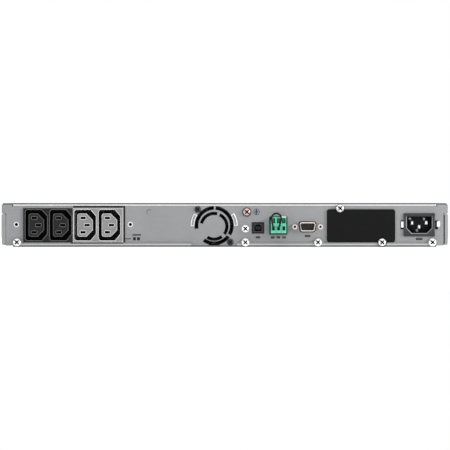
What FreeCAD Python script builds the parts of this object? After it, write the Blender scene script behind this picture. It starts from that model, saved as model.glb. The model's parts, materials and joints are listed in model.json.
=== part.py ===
import FreeCAD, Part
import math
import os

# A rack-mount uninterruptible power supply, one rack unit high, as separate pieces.
# Millimetres, +Z up. The origin is the middle of the plane in which the rack ears meet the rack's
# posts; the front looks along -Y, and the sockets are on the rear panel, which looks along +Y.
# "left" and "right" are as seen from the front, so left is -X.

V = FreeCAD.Vector
X_AXIS = V(1, 0, 0)
Y_AXIS = V(0, 1, 0)
Z_AXIS = V(0, 0, 1)

# ---- driving dimensions -------------------------------------------------------------------------
BODY_WIDTH = 438.0
UNIT_HEIGHT = 43.2
RACK_WIDTH = 482.6
EAR_SLOT_SPACING = 465.1
EAR_SLOT_PITCH = 31.75
FRONT_Y = -22.5
REAR_Y = 340.0
SHEET = 1.2
COVER_SHEET = 1.0
BASE_SHEET = 1.5
BEND = 0.6
SLIP = 0.1

HALF = BODY_WIDTH / 2
TOP = UNIT_HEIGHT / 2
BOTTOM = -TOP
ROOF = TOP - COVER_SHEET            # underside of the cover
FLOOR = BOTTOM + BASE_SHEET         # top of the base plate
BASE_HALF = 207.5                   # half the width of the base plate and of the rear panel's folds
WALL_X = 214.6                      # outer face of a side wall beside the runner
SKIRT_X = HALF - COVER_SHEET        # outer face of a side wall under the cover's skirt
SHELF_Z = 11.5                      # top of the recess that holds a rack runner
FLANGE_X = 204.8                    # inner edge of a side wall's flanges
PANEL_IN = REAR_Y - SHEET           # inner face of the rear panel
LIP_TOP = -17.1                     # top of the base plate's lip outside the rear panel
LIP_SCREW_Z = -16.8

# Rear panel, all in (x, z).
OUTLET_SEAM_X = 148.9
OUTLET_PITCH = 23.9
OUTLET_BLOCK_W = 49.05
OUTLET_LOW = -16.9
OUTLET_HIGH = 16.6
OUTLET_Z = 0.1
LIP_SCREWS = [203.7, -20.3, -91.5, -203.7]
BRACKET_SCREW = (-20.3, -3.5)
CLIP_HOLES = [(204.4, 0.7), (92.6, 0.7)]
CLIP_HOLE_R = 1.6
FAN = (10.5, -0.6)
FAN_SIZE = 39.0
FAN_DEPTH = 20.0
FAN_HOLE = 16.0
FAN_BORE_R = 18.4
GROUND = (-21.7, 12.9)
USB = (-32.6, -2.6)
TERMINAL_X = -52.6
TERMINAL_PITCH = 5.08
TERMINAL_HALF = 7.45
TERMINAL_LOW = -7.85
SHROUD_HALF = 8.65
SHROUD_LOW = -9.05
TERMINAL_HIGH = 7.7
ENTRY_Z = -3.1
TERMINAL_FACE_Y = 352.0
SERIAL = (-81.2, -1.6)
SERIAL_JACK = 12.5
SLOT_LOW_X = -167.1
SLOT_HIGH_X = -100.2
SLOT_LOW = -16.8
SLOT_HIGH = 15.6
SLOT_LUGS = [(-113.1, 16.5, 4.0), (-154.3, -16.8, 4.4)]
INLET = (-190.75, 0.4)
INLET_HALF_W = 15.4
INLET_HALF_H = 11.35
INLET_NOTCH_X = 18.3                # half width across the notches beside the inlet
INLET_NOTCH_Z = (-4.1, 4.8)
RUNNER_FACE = HALF - 0.1            # outer face of a rack runner
COVER_END = REAR_Y - 1.6            # rear edge of the cover, short of the panel's bend

# Battery drawer and bay.
TRAY_X = (2.0, 202.0)
TRAY_Y = (-17.0, 292.0)
TRAY_LOW = FLOOR + 0.2
BAY_X = (1.0, 203.2)
BAY_BACK_Y = 294.0
CELL = (94.0, 151.0, 34.0)
SPLIT_X = -11.1                     # seam between the fixed bezel and the drawer's front
PLUG_X = 102.0
LEAD_OFFSET = 2.2                   # of each battery lead from the plug's middle
PLUG_Z = -3.0
THUMBSCREW_X = (-4.4, 208.2)
THUMBSCREW_R = 2.0

# Front panel, all in (x, z).
PLASTIC = 2.2
PLASTIC_EDGE = 1.6                  # thinner top and bottom walls of the front's mouldings
POWER_BUTTON = (-203.0, 0.0)
POWER_BUTTON_R = 6.0
LAMPS = [(-186.0, 8.5), (-186.0, 0.0), (-186.0, -8.5)]
LAMP_R = 1.5
WINDOW = (-176.0, -112.0, 12.4)     # low x, high x, half height
KEYS = {"escape": (-100.0, 6.2), "up": (-88.0, 6.2), "down": (-100.0, -6.2), "enter": (-88.0, -6.2)}
KEY_HALF = 4.5
KEY_PROUD = 0.6
BEZEL_GRILLE = (-78.0, -22.0, 16.0)
DRAWER_GRILLE = (14.0, 194.0, 16.0)
DISPLAY_BOARD_Y = -12.0

# Boards inside.
BOARD_Z = FLOOR + 6.0               # underside of the power board
COMMS_TOP = -8.5                    # top of the board behind the rear connectors


# ---- shapes -------------------------------------------------------------------------------------
def box(x, y, z):
    """A block between (low, high) pairs."""
    return Part.makeBox(x[1] - x[0], y[1] - y[0], z[1] - z[0], V(x[0], y[0], z[0]))


def rod(radius, start, end):
    start, end = V(*start), V(*end)
    return Part.makeCylinder(radius, (end - start).Length, start, end - start)


def bore_y(shape, places, radius, y=(-60, 400)):
    """The shape with round holes along Y at these (x, z) places."""
    return shape.cut(Part.makeCompound([rod(radius, (x, y[0], z), (x, y[1], z)) for x, z in places]))


def fused(shapes):
    shape = shapes[0].multiFuse(shapes[1:]) if len(shapes) > 1 else shapes[0]
    return shape.removeSplitter()


def edges_at(shape, y):
    """The edges that lie in the plane across Y at y."""
    return [e for e in shape.Edges if abs(e.CenterOfMass.y - y) < 1e-6 and e.BoundBox.YLength < 1e-6]


def group(shapes):
    return Part.makeCompound(shapes)


def rounded_loop(corners):
    """A closed wire through (point, radius) corners, with a tangent arc at each that has a radius."""
    ends = []
    for i, (corner, radius) in enumerate(corners):
        before = (corners[i - 1][0] - corner).normalize()
        after = (corners[(i + 1) % len(corners)][0] - corner).normalize()
        if radius <= 0:
            ends.append((corner, None, corner))
            continue
        half = before.getAngle(after) / 2
        inward = (before + after).normalize()
        middle = corner + inward * (radius / math.sin(half) - radius)
        reach = radius / math.tan(half)
        ends.append((corner + before * reach, middle, corner + after * reach))
    edges = []
    for i, (start, middle, end) in enumerate(ends):
        if middle is not None:
            edges.append(Part.Arc(start, middle, end).toShape())
        following = ends[(i + 1) % len(ends)][0]
        if (following - end).Length > 1e-6:
            edges.append(Part.LineSegment(end, following).toShape())
    return Part.Wire(edges)


def prism(corners, axis, low, high):
    """(u, v, radius) corners drawn across an axis and stretched along it; u, v follow X, Y, Z order."""
    place = {
        "X": lambda u, v: V(low, u, v),
        "Y": lambda u, v: V(u, low, v),
        "Z": lambda u, v: V(u, v, low),
    }[axis]
    along = {"X": X_AXIS, "Y": Y_AXIS, "Z": Z_AXIS}[axis]
    wire = rounded_loop([(place(c[0], c[1]), c[2] if len(c) > 2 else 0) for c in corners])
    return Part.Face(wire).extrude(along * (high - low))


def rectangle(x, z, radius):
    return [(x[0], z[0], radius), (x[1], z[0], radius), (x[1], z[1], radius), (x[0], z[1], radius)]


def folded_sheet(path, thickness, axis, low, high, bend=BEND):
    """Sheet metal along a (u, v) path, with its thickness on the left of the path and round bends."""
    points = [V(u, v, 0) for u, v in path]
    across = []
    for a, b in zip(points, points[1:]):
        d = (b - a).normalize()
        across.append(V(-d.y, d.x, 0))
    near = [(points[0].x, points[0].y, 0)]
    far = [points[0] + across[0] * thickness]
    far = [(far[0].x, far[0].y, 0)]
    for i in range(1, len(points) - 1):
        n0, n1 = across[i - 1], across[i]
        mitre = (n0 + n1).normalize()
        inner = points[i] + mitre * (thickness / mitre.dot(n0))
        left_turn = n0.cross(n1).z > 0
        near.append((points[i].x, points[i].y, bend + thickness if left_turn else bend))
        far.append((inner.x, inner.y, bend if left_turn else bend + thickness))
    near.append((points[-1].x, points[-1].y, 0))
    last = points[-1] + across[-1] * thickness
    far.append((last.x, last.y, 0))
    return prism(near + far[::-1], axis, low, high)


def placed(shape, at, along):
    """A shape made along +Z, moved to a point and turned to look along a direction."""
    moved = shape.copy()
    moved.Placement = FreeCAD.Placement(V(*at), FreeCAD.Rotation(Z_AXIS, V(*along)))
    return moved


def screw(head_r, head_h, shank_r, length, flat=False):
    """A cross-recess screw along +Z, with its head's bearing plane at 0 (or its flush face, if flat)."""
    if flat:
        profile = [(0, -length), (shank_r, -length), (shank_r, shank_r - head_r), (head_r, 0), (0, 0)]
        edges = [Part.LineSegment(V(a[0], 0, a[1]), V(b[0], 0, b[1])).toShape()
                 for a, b in zip(profile, profile[1:])]
        top = 0.0
    else:
        rim = 0.4 * head_h
        profile = [(0, head_h), (0, -length), (shank_r, -length), (shank_r, 0), (head_r, 0)]
        profile += [(head_r, rim)]
        edges = [Part.LineSegment(V(a[0], 0, a[1]), V(b[0], 0, b[1])).toShape()
                 for a, b in zip(profile, profile[1:])]
        shoulder = V(0.72 * head_r, 0, 0.84 * head_h)
        edges.append(Part.Arc(V(head_r, 0, rim), shoulder, V(0, 0, head_h)).toShape())
        top = head_h
    if flat:
        edges.append(Part.LineSegment(V(0, 0, 0), V(0, 0, -length)).toShape())
    body = Part.Face(Part.Wire(edges)).revolve(V(0, 0, 0), Z_AXIS, 360)
    arm, wide = (0.58 * head_r, 0.16 * head_r) if flat else (0.70 * head_r, 0.17 * head_r)
    deep = 0.35 * head_r if flat else 0.85 * head_h
    for x, y in ((arm, wide), (wide, arm)):
        blade = box((-x, x), (-y, y), (top - deep, top + 1))
        blade.rotate(V(0, 0, 0), Z_AXIS, 45)
        body = body.cut(blade)
    return body


def cord_path(points):
    """Straight runs through these points, joined by tangent arcs as large as the runs allow."""
    spots = [V(*p) for p in points]
    edges, radii, at = [], [], spots[0]
    for before, corner, after in zip(spots, spots[1:], spots[2:]):
        a, b = before - corner, after - corner
        reach = 0.45 * min(a.Length, b.Length)
        half = a.getAngle(b) / 2
        radius = reach * math.tan(half)
        a.normalize()
        b.normalize()
        inward = (a + b).normalize()
        start, end = corner + a * reach, corner + b * reach
        middle = corner + inward * (radius / math.sin(half) - radius)
        edges.append(Part.LineSegment(at, start).toShape())
        edges.append(Part.Arc(start, middle, end).toShape())
        radii.append(radius)
        at = end
    edges.append(Part.LineSegment(at, spots[-1]).toShape())
    return Part.Wire(edges), radii


def cord(points, diameter, name):
    """A round cord along the path; prints its bends and its volume over section times length."""
    wire, radii = cord_path(points)
    direction = V(*points[1]) - V(*points[0])
    ring = Part.Wire(Part.makeCircle(diameter / 2, V(*points[0]), direction))
    tube = wire.makePipeShell([ring], True, False)
    expected = math.pi * diameter ** 2 / 4 * wire.Length
    print(f"{name}: length {wire.Length:.1f}, radii {[round(r, 1) for r in radii]}, "
          f"volume ratio {tube.Volume / expected:.4f}")
    return tube


# ---- chassis ------------------------------------------------------------------------------------
def base_plate():
    outer_y = REAR_Y + BASE_SHEET
    path = [(1.3, BOTTOM), (outer_y, BOTTOM), (outer_y, LIP_TOP)]
    plate = folded_sheet(path, BASE_SHEET, "X", -BASE_HALF, BASE_HALF)
    tabs = [rod(4.4, (x, REAR_Y, LIP_SCREW_Z), (x, outer_y, LIP_SCREW_Z)) for x in LIP_SCREWS]
    posts = [rod(3.0, (x, y, FLOOR - 0.2), (x, y, FLOOR + 6.0)) for x, y in BOARD_POSTS]
    plate = fused([plate] + tabs + posts)
    fan_gap = box((FAN[0] - 22.5, FAN[0] + 22.5), (REAR_Y - 1, outer_y + 1), (BOTTOM + 1.5, 0))
    lug_x, lug_z, lug_r = SLOT_LUGS[1]
    lug_gap = rod(lug_r + 0.3, (lug_x, REAR_Y - 0.01, lug_z), (lug_x, outer_y + 1, lug_z))
    plate = plate.cut(fan_gap).cut(lug_gap)
    return bore_y(plate, [(x, LIP_SCREW_Z) for x in LIP_SCREWS], 2.05, (REAR_Y - 3, outer_y + 1))


BOARD_POSTS = [(x, y) for x in (-200.0, -106.0, -20.0) for y in (32.0, 188.0)]


def arc_slot(centre, start_deg, end_deg, inner_r, outer_r, y):
    """A curved bar about an axis along Y; from behind, angles run anticlockwise from the right."""
    def at(radius, degrees):
        a = math.radians(degrees)
        return V(centre[0] - radius * math.cos(a), y[0], centre[1] + radius * math.sin(a))
    middle = (start_deg + end_deg) / 2
    edges = [
        Part.Arc(at(outer_r, start_deg), at(outer_r, middle), at(outer_r, end_deg)).toShape(),
        Part.LineSegment(at(outer_r, end_deg), at(inner_r, end_deg)).toShape(),
        Part.Arc(at(inner_r, end_deg), at(inner_r, middle), at(inner_r, start_deg)).toShape(),
        Part.LineSegment(at(inner_r, start_deg), at(outer_r, start_deg)).toShape(),
    ]
    return Part.Face(Part.Wire(edges)).extrude(Y_AXIS * (y[1] - y[0]))


OUTER_RING = (10.4, -0.4)              # centre of the guard's outer slots and beads
OUTER_SLOTS = [(91.0, 190.0), (-30.0, 85.0), (234.0, 323.0)]
INNER_RING = (10.5, -1.1)
INNER_SLOTS = [(76.0, 167.0), (-37.0, 64.0), (238.0, 307.0)]
OUTER_RADII = (15.8, 19.0)
INNER_RADII = (11.3, 14.0)
GUARD_BEADS = [(0.0, 32.0), (149.0, 181.0)]


def guard_bead(start_deg, end_deg):
    """A low raised arc beside the fan's slots, with sloping sides."""
    face = REAR_Y + 0.7
    bead = arc_slot(OUTER_RING, start_deg, end_deg, 19.5, 22.9, (REAR_Y - 0.2, face))
    top = [e for e in bead.Edges if abs(e.BoundBox.YMin - face) < 1e-6]
    return bead.makeChamfer(0.6, top)


def slot_bevel(centre, start_deg, end_deg, inner_r, outer_r):
    """The bevel along a guard slot's long edges, on the panel's outer face."""
    size = 0.3
    x, z = centre
    inner_y, outer_y = REAR_Y - size, REAR_Y + 0.1
    wider = size + 0.1
    corners = [(inner_r, inner_y), (outer_r, inner_y),
               (outer_r + wider, outer_y), (inner_r - wider, outer_y)]
    points = [V(x - radius, y, z) for radius, y in corners]
    profile = Part.Face(Part.makePolygon(points + points[:1]))
    profile.rotate(V(x, 0, z), Y_AXIS, start_deg)
    return profile.revolve(V(x, 0, z), Y_AXIS, end_deg - start_deg)


def rear_panel():
    inside = REAR_Y - 12
    path = [(inside, FLOOR), (REAR_Y, FLOOR), (REAR_Y, ROOF), (inside, ROOF)]
    middle = folded_sheet(path, SHEET, "X", -BASE_HALF, BASE_HALF)
    wings = []
    for side in (-1, 1):
        wing = [(side * BASE_HALF, FLOOR), (side * WALL_X, FLOOR), (side * WALL_X, SHELF_Z + 0.2),
                (side * (HALF - 0.2), SHELF_Z + 0.2), (side * (HALF - 0.2), ROOF - 0.5),
                (side * (BASE_HALF + 1), ROOF - 0.5), (side * (BASE_HALF + 1), ROOF - 2.2),
                (side * BASE_HALF, ROOF - 2.2)]
        wings.append(prism(wing, "Y", PANEL_IN, REAR_Y))
    beads = [guard_bead(a, b) for a, b in GUARD_BEADS]
    panel = fused([middle] + wings + beads)
    through = (PANEL_IN - 1, REAR_Y + 2)
    holes = [
        box((FAN[0] - 20.4, FAN[0] + 20.4), (inside - 1, PANEL_IN), (FLOOR - 1, ROOF + 1)),
        prism(rectangle((SLOT_LOW_X + 1.7, SLOT_HIGH_X - 1.9), (-15.3, 14.1), 1.0), "Y", *through),
        prism(rectangle((USB[0] - 6.15, USB[0] + 6.15), (USB[1] - 5.6, USB[1] + 5.6), 0.4), "Y",
              *through),
        box((TERMINAL_X - 8.9, TERMINAL_X + 8.9), through, (SHROUD_LOW - 0.25, TERMINAL_HIGH + 0.8)),
        prism(d_shape(9.3, 5.45, 2.4), "Y", *through),
        box((INLET[0] - 13.9, INLET[0] + 13.9), through, (INLET[1] - 9.9, INLET[1] + 9.9)),
    ]
    for centre in (OUTLET_SEAM_X - OUTLET_BLOCK_W / 2, OUTLET_SEAM_X + OUTLET_BLOCK_W / 2):
        holes.append(box((centre - 23.2, centre + 23.2), through, (OUTLET_LOW + 1.1, OUTLET_HIGH - 1.1)))
    holes.append(box((INLET[0] - INLET_NOTCH_X, INLET[0] + INLET_NOTCH_X), through, INLET_NOTCH_Z))
    for side in (-1, 1):
        holes.append(rod(1.7, (SERIAL[0] + side * SERIAL_JACK, through[0], SERIAL[1]),
                         (SERIAL[0] + side * SERIAL_JACK, through[1], SERIAL[1])))
    rings = [(OUTER_RING, OUTER_SLOTS, OUTER_RADII), (INNER_RING, INNER_SLOTS, INNER_RADII)]
    for centre, slots, radii in rings:
        holes += [arc_slot(centre, a, b, *radii, through) for a, b in slots]
        holes += [slot_bevel(centre, a, b, *radii) for a, b in slots]
    for hole in holes:
        panel = panel.cut(hole)
    fan_holes = [(FAN[0] + a * FAN_HOLE, FAN[1] + a * FAN_HOLE) for a in (-1, 1)]
    panel = bore_y(panel, [(x, LIP_SCREW_Z) for x in LIP_SCREWS] + [BRACKET_SCREW], 2.05, through)
    panel = bore_y(panel, [(x, z) for x, z, _ in SLOT_LUGS] + [GROUND], 2.05, through)
    panel = bore_y(panel, fan_holes, 1.75, through)
    return bore_y(panel, CLIP_HOLES, CLIP_HOLE_R, through)


def side_wall(side):
    path = [(FLANGE_X, ROOF), (SKIRT_X, ROOF), (SKIRT_X, SHELF_Z), (WALL_X, SHELF_Z), (WALL_X, FLOOR),
            (FLANGE_X, FLOOR)]
    path = [(side * u, v) for u, v in (path if side < 0 else path[::-1])]
    wall = folded_sheet(path, SHEET, "Y", 1.3, PANEL_IN - SLIP)
    for z in ((ROOF - SHEET - 0.5, ROOF + 1), (FLOOR - 1, FLOOR + SHEET + 0.5)):
        xs = sorted((side * 190, side * (BASE_HALF + SLIP)))
        wall = wall.cut(box(xs, (REAR_Y - 12.5, REAR_Y), z))
    for y, z in SIDE_SCREWS:
        wall = wall.cut(rod(2.05, (side * (WALL_X - 3), y, z), (side * (WALL_X + 3), y, z)))
    for y in COVER_SCREWS_Y:
        z = COVER_SCREW_Z
        wall = wall.cut(rod(2.05, (side * (HALF - 6), y, z), (side * (HALF + 3), y, z)))
    return wall


EAR_SCREWS = [(14.0, -12.0), (14.0, 4.0), (38.0, -12.0), (38.0, 4.0)]
RUNNER_SCREWS = [(96.0, -4.0), (204.0, -4.0), (312.0, -4.0)]
SIDE_SCREWS = EAR_SCREWS + RUNNER_SCREWS
COVER_SCREWS_Y = [24.0, 170.0, 316.0]
COVER_SCREW_Z = 16.2


def top_cover():
    path = [(HALF, SHELF_Z + 0.1), (HALF, TOP), (-HALF, TOP), (-HALF, SHELF_Z + 0.1)]
    cover = folded_sheet(path, COVER_SHEET, "Y", 0.0, COVER_END, bend=0.25)
    rib_press = 0.4
    for x in (-120.0, 0.0, 120.0):
        bump = prism([(x - 7, 60, 6), (x + 7, 60, 6), (x + 7, 290, 6), (x - 7, 290, 6)], "Z",
                     ROOF - rib_press, ROOF + 0.1)
        groove = prism([(x - 6, 61, 5), (x + 6, 61, 5), (x + 6, 289, 5), (x - 6, 289, 5)], "Z",
                       TOP - rib_press, TOP + 1)
        cover = fused([cover, bump]).cut(groove)
    for side in (-1, 1):
        xs = sorted((side * (BASE_HALF + 0.5), side * (HALF + 1)))
        cover = cover.cut(box(xs, (REAR_Y - 12.0, REAR_Y + 1), (0, TOP + 1)))
        for y in COVER_SCREWS_Y:
            face = V(side * (HALF + 0.05), y, COVER_SCREW_Z)
            cover = cover.cut(Part.makeCone(3.05, 1.55, 1.5, face, V(-side, 0, 0)))
    return cover


def cover_screws():
    one = screw(2.95, 1.4, 1.5, 6.0, flat=True)
    return group([placed(one, (side * HALF, y, COVER_SCREW_Z), (side, 0, 0))
                  for side in (-1, 1) for y in COVER_SCREWS_Y if y < REAR_Y - 14])


def front_frame():
    frame = box((-213.2, 213.2), (0, SHEET), (FLOOR, ROOF))
    frame = frame.cut(box(BAY_X, (-1, 2), (FLOOR - 1, ROOF - 1.7)))
    flanges = [box((-199, 199), (0, 10), (ROOF - SHEET, ROOF)),
               box((-199, BAY_X[0] - 3), (0, 10), (FLOOR, FLOOR + SHEET))]
    frame = fused([frame] + flanges)
    low, high, half = BEZEL_GRILLE
    frame = frame.cut(prism(rectangle((low + 2, high - 2), (-half + 2, half - 2), 2.0), "Y", -1, 2))
    frame = frame.cut(prism(rectangle((-150, -130), (-14, -6), 1.0), "Y", -1, 2))
    for x, z in BEZEL_HOOKS:
        frame = frame.cut(box((x - 4.4, x + 4.4), (-1, 2), (z - 1.5, z + 1.5)))
    return bore_y(frame, [(x, 0) for x in THUMBSCREW_X], THUMBSCREW_R + 0.15, (-1, 2))


BEZEL_HOOKS = [(-200.0, 16.6), (-95.0, 16.6), (-200.0, -16.6), (-95.0, -16.6)]


def battery_bay():
    """A folded U of sheet round the drawer, open to the front."""
    low, high = BAY_X
    path = [(low, 1.3), (low, BAY_BACK_Y), (high, BAY_BACK_Y), (high, 1.3)]
    bay = folded_sheet(path, SHEET, "Z", FLOOR, ROOF - SHEET - SLIP)
    window = box((PLUG_X - 10, PLUG_X + 10), (BAY_BACK_Y - 2, BAY_BACK_Y + 3),
                 (PLUG_Z - 5.5, PLUG_Z + 5.5))
    bay = bay.cut(window)
    vents = [prism(rectangle((x - 4, x + 4), (5, 12), 2.0), "Y", BAY_BACK_Y - 2, BAY_BACK_Y + 3)
             for x in (30, 50, 70, 134, 154, 174)]
    return bay.cut(Part.makeCompound(vents))


def rack_ear(side):
    """An L bracket: a face with two slots on the rack's post, and a leaf on the side wall."""
    thick = 2.0
    outer = RACK_WIDTH / 2
    path = [(WALL_X, 48.0), (WALL_X, -thick), (outer, -thick)]
    path = [(side * u, v) for u, v in (path if side > 0 else path[::-1])]
    ear = folded_sheet(path, thick, "Z", -TOP + 0.2, TOP - 0.2, bend=0.8)
    for z in ((-TOP - 1, FLOOR + 0.7), (SHELF_Z - 0.8, TOP + 1)):
        ear = ear.cut(box(sorted((side * 210, side * (WALL_X + 3.5))), (0, 60), z))
    for z in (-EAR_SLOT_PITCH / 2, EAR_SLOT_PITCH / 2):
        x = side * EAR_SLOT_SPACING / 2
        ear = ear.cut(prism(rectangle((x - 5.0, x + 5.0), (z - 3.5, z + 3.5), 3.499), "Y", -5, 5))
    for z in (-1, 1):
        cutter = box((outer - 3, outer + 1), (-5, 5), sorted((z * (TOP - 3.2), z * (TOP + 1))))
        cutter = cutter.cut(rod(3.0, (outer - 3, -6, z * (TOP - 3.2)), (outer - 3, 6, z * (TOP - 3.2))))
        if side < 0:
            cutter = cutter.mirror(V(0, 0, 0), X_AXIS)
        ear = ear.cut(cutter)
    for y, z in SIDE_SCREWS[:4]:
        x0 = side * (WALL_X + 2.0 + 0.01)
        ear = ear.cut(Part.makeCone(4.05, 2.05, 2.0, V(x0, y, z), V(-side, 0, 0)))
        ear = ear.cut(rod(2.05, (side * (WALL_X - 1), y, z), (side * (WALL_X + 3), y, z)))
    return ear


def rack_runner(side):
    """The inner member of a rack slide: a shallow C channel, closed at the rear, lying in the recess."""
    web_out = RUNNER_FACE
    web = 1.4
    low, high = FLOOR + 0.6, SHELF_Z - 0.05
    path = [(WALL_X + 0.5, high), (web_out, high), (web_out, low), (WALL_X + 0.5, low)]
    path = [(side * u, v) for u, v in (path if side < 0 else path[::-1])]
    runner = folded_sheet(path, web, "Y", 52.0, REAR_Y - 0.2)
    gap = 1.2 if side < 0 else 0.3
    cap = box(sorted((side * (WALL_X + gap), side * (web_out - web))), (REAR_Y - 1.6, REAR_Y - 0.2),
              (low + web, high - web))
    foot_end = web_out - web + 0.1
    feet = [rod(5.0, (side * WALL_X, y, z), (side * foot_end, y, z)) for y, z in RUNNER_SCREWS]
    runner = fused([runner, cap] + feet)
    for y, z in RUNNER_SCREWS:
        face = V(side * (web_out + 0.01), y, z)
        runner = runner.cut(Part.makeCone(4.05, 2.05, 2.0, face, V(-side, 0, 0)))
        runner = runner.cut(rod(2.05, (side * (WALL_X - 1), y, z), (side * (HALF + 3), y, z)))
    for y in (74.0, 150.0, 258.0):
        slot = prism([(y - 9, -7, 2.9), (y + 9, -7, 2.9), (y + 9, -1, 2.9), (y - 9, -1, 2.9)],
                     "X", *sorted((side * (WALL_X + 1), side * (HALF + 1))))
        runner = runner.cut(slot)
    return runner


def side_screws():
    """Countersunk screws that hold the rack ears and the runners."""
    made = []
    for side in (-1, 1):
        for i, (y, z) in enumerate(SIDE_SCREWS):
            face = WALL_X + 2.0 if i < 4 else RUNNER_FACE
            one = screw(3.9, 1.8, 1.95, face - WALL_X + 3.2, flat=True)
            made.append(placed(one, (side * face, y, z), (side, 0, 0)))
    return group(made)


def rear_screws():
    """Pan-head screws on the rear: four in the base's lip, one for a bracket, two on the slot cover."""
    outer_y = REAR_Y + BASE_SHEET
    heads = [(x, outer_y, LIP_SCREW_Z) for x in LIP_SCREWS]
    heads += [(BRACKET_SCREW[0], REAR_Y, BRACKET_SCREW[1])]
    heads += [(x, REAR_Y + 2.0, z) for x, z, _ in SLOT_LUGS]
    one = screw(3.75, 2.4, 1.95, 7.0)
    return group([placed(one, at, (0, 1, 0)) for at in heads])


# ---- front --------------------------------------------------------------------------------------
def front_shell(low_x, high_x, round_low):
    """A plastic cap with an open back; its outer end is rounded, and it clears the rack ear there."""
    end_r, edge_r = 5.0, 2.0
    corners = [(low_x, FRONT_Y, end_r if round_low else 0), (high_x, FRONT_Y, 0 if round_low else end_r),
               (high_x, -0.3, 0), (low_x, -0.3, 0)]
    outer = prism(corners, "Z", BOTTOM, TOP)
    seam_x = high_x if round_low else low_x
    flat = [e for e in outer.Edges if abs(abs(e.CenterOfMass.z) - TOP) < 1e-6]
    rims = [e for e in flat if e.BoundBox.YMin < -1 and abs(e.CenterOfMass.x - seam_x) > 1]
    outer = outer.makeFillet(edge_r, rims)
    inner_corners = [(low_x + PLASTIC, FRONT_Y + PLASTIC, end_r - PLASTIC if round_low else 0),
                     (high_x - PLASTIC, FRONT_Y + PLASTIC, 0 if round_low else end_r - PLASTIC),
                     (high_x - PLASTIC, 1, 0), (low_x + PLASTIC, 1, 0)]
    shell = outer.cut(prism(inner_corners, "Z", BOTTOM + PLASTIC_EDGE, TOP - PLASTIC_EDGE))
    end = HALF - WALL_X + 0.4
    end_x = (low_x - 1, low_x + end) if round_low else (high_x - end, high_x + 1)
    return shell.cut(box(end_x, (-2.3, 1), (BOTTOM - 1, TOP + 1)))


def window_cut(x, half, radius):
    return prism(rectangle(x, (-half, half), radius), "Y", FRONT_Y - 2, FRONT_Y + PLASTIC + 1)


def front_bezel():
    bezel = front_shell(-HALF, SPLIT_X - 0.2, True)
    wall_in = FRONT_Y + PLASTIC
    posts = [rod(2.5, (x, wall_in - 0.1, z), (x, DISPLAY_BOARD_Y, z)) for x, z in BOARD_CORNERS]
    hooks = []
    for x, z in BEZEL_HOOKS:
        out = 1 if z > 0 else -1
        hooks.append(box((x - 4, x + 4), (wall_in - 0.1, 5.0), sorted((z - 0.7, z + 0.7))))
        barb = prism([(SHEET + 0.2, z), (4.9, z), (SHEET + 0.2, z + out * 2.2)], "X", x - 4, x + 4)
        hooks.append(barb)
    bezel = fused([bezel] + posts + hooks)
    low, high, half = WINDOW
    bezel = bezel.cut(window_cut((low, high), half, 2.0))
    low, high, half = BEZEL_GRILLE
    bezel = bezel.cut(window_cut((low, high), half, 2.0))
    bezel = bore_y(bezel, [POWER_BUTTON], POWER_BUTTON_R + 0.3, (FRONT_Y - 2, wall_in + 0.5))
    bezel = bore_y(bezel, LAMPS, LAMP_R + 0.1, (FRONT_Y - 2, wall_in + 0.5))
    for x, z in KEYS.values():
        r = KEY_HALF + 0.25
        hole = prism(rectangle((x - r, x + r), (z - r, z + r), 1.4), "Y", FRONT_Y - 2, wall_in + 0.5)
        bezel = bezel.cut(hole)
    return bezel


BOARD_CORNERS = [(-210.0, 13.0), (-210.0, -13.0), (-106.5, 16.0), (-106.5, -16.0),
                 (-180.0, 16.5), (-180.0, -16.5)]


def honeycomb(x, half, y, flats=4.6, pitch=5.4):
    """A plate pierced by hexagons in staggered rows."""
    slack = 0.15
    plate = prism(rectangle((x[0] + slack, x[1] - slack), (-half + slack, half - slack), 1.9), "Y", *y)
    r = flats / math.sqrt(3)
    hexagon = [(r * math.sin(math.radians(60 * i)), r * math.cos(math.radians(60 * i))) for i in range(6)]
    rise = pitch * math.sqrt(3) / 2
    rows = int((2 * half - 5) / rise)
    columns = int((x[1] - x[0] - 5) / pitch)
    centre_x = (x[0] + x[1]) / 2
    cells = []
    for row in range(rows):
        z = (row - (rows - 1) / 2) * rise
        count = columns if row % 2 == 0 else columns - 1
        for column in range(count):
            cx = centre_x + (column - (count - 1) / 2) * pitch
            cells.append(prism([(cx + u, z + v) for u, v in hexagon], "Y", y[0] - 1, y[1] + 1))
    return plate.cut(Part.makeCompound(cells))


def display_window():
    low, high, half = WINDOW
    pane = prism(rectangle((low + 0.15, high - 0.15), (-half + 0.15, half - 0.15), 1.85), "Y",
                 FRONT_Y + 0.3, FRONT_Y + PLASTIC - 0.1)
    return pane


def display_module():
    """The circuit board behind the bezel with its display and push switches."""
    y = DISPLAY_BOARD_Y
    board = box((-213.5, -82.0), (y, y + 1.6), (-18.8, 18.8))
    for x, z in BEZEL_HOOKS:
        board = board.cut(box((x - 4.8, x + 4.8), (y - 1, y + 3), sorted((z * 0.92, z * 1.3))))
    display = prism(rectangle((-174.5, -113.5), (-11.6, 11.6), 0.8), "Y", y - 6.0, y)
    places = [POWER_BUTTON, *KEYS.values()]
    switches = [box((x - 3, x + 3), (y - 3.4, y), (z - 3, z + 3)) for x, z in places]
    return group([board, display] + switches)


def light_pipes():
    return group([rod(LAMP_R, (x, FRONT_Y - 0.2, z), (x, DISPLAY_BOARD_Y - 1.2, z)) for x, z in LAMPS])


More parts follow.
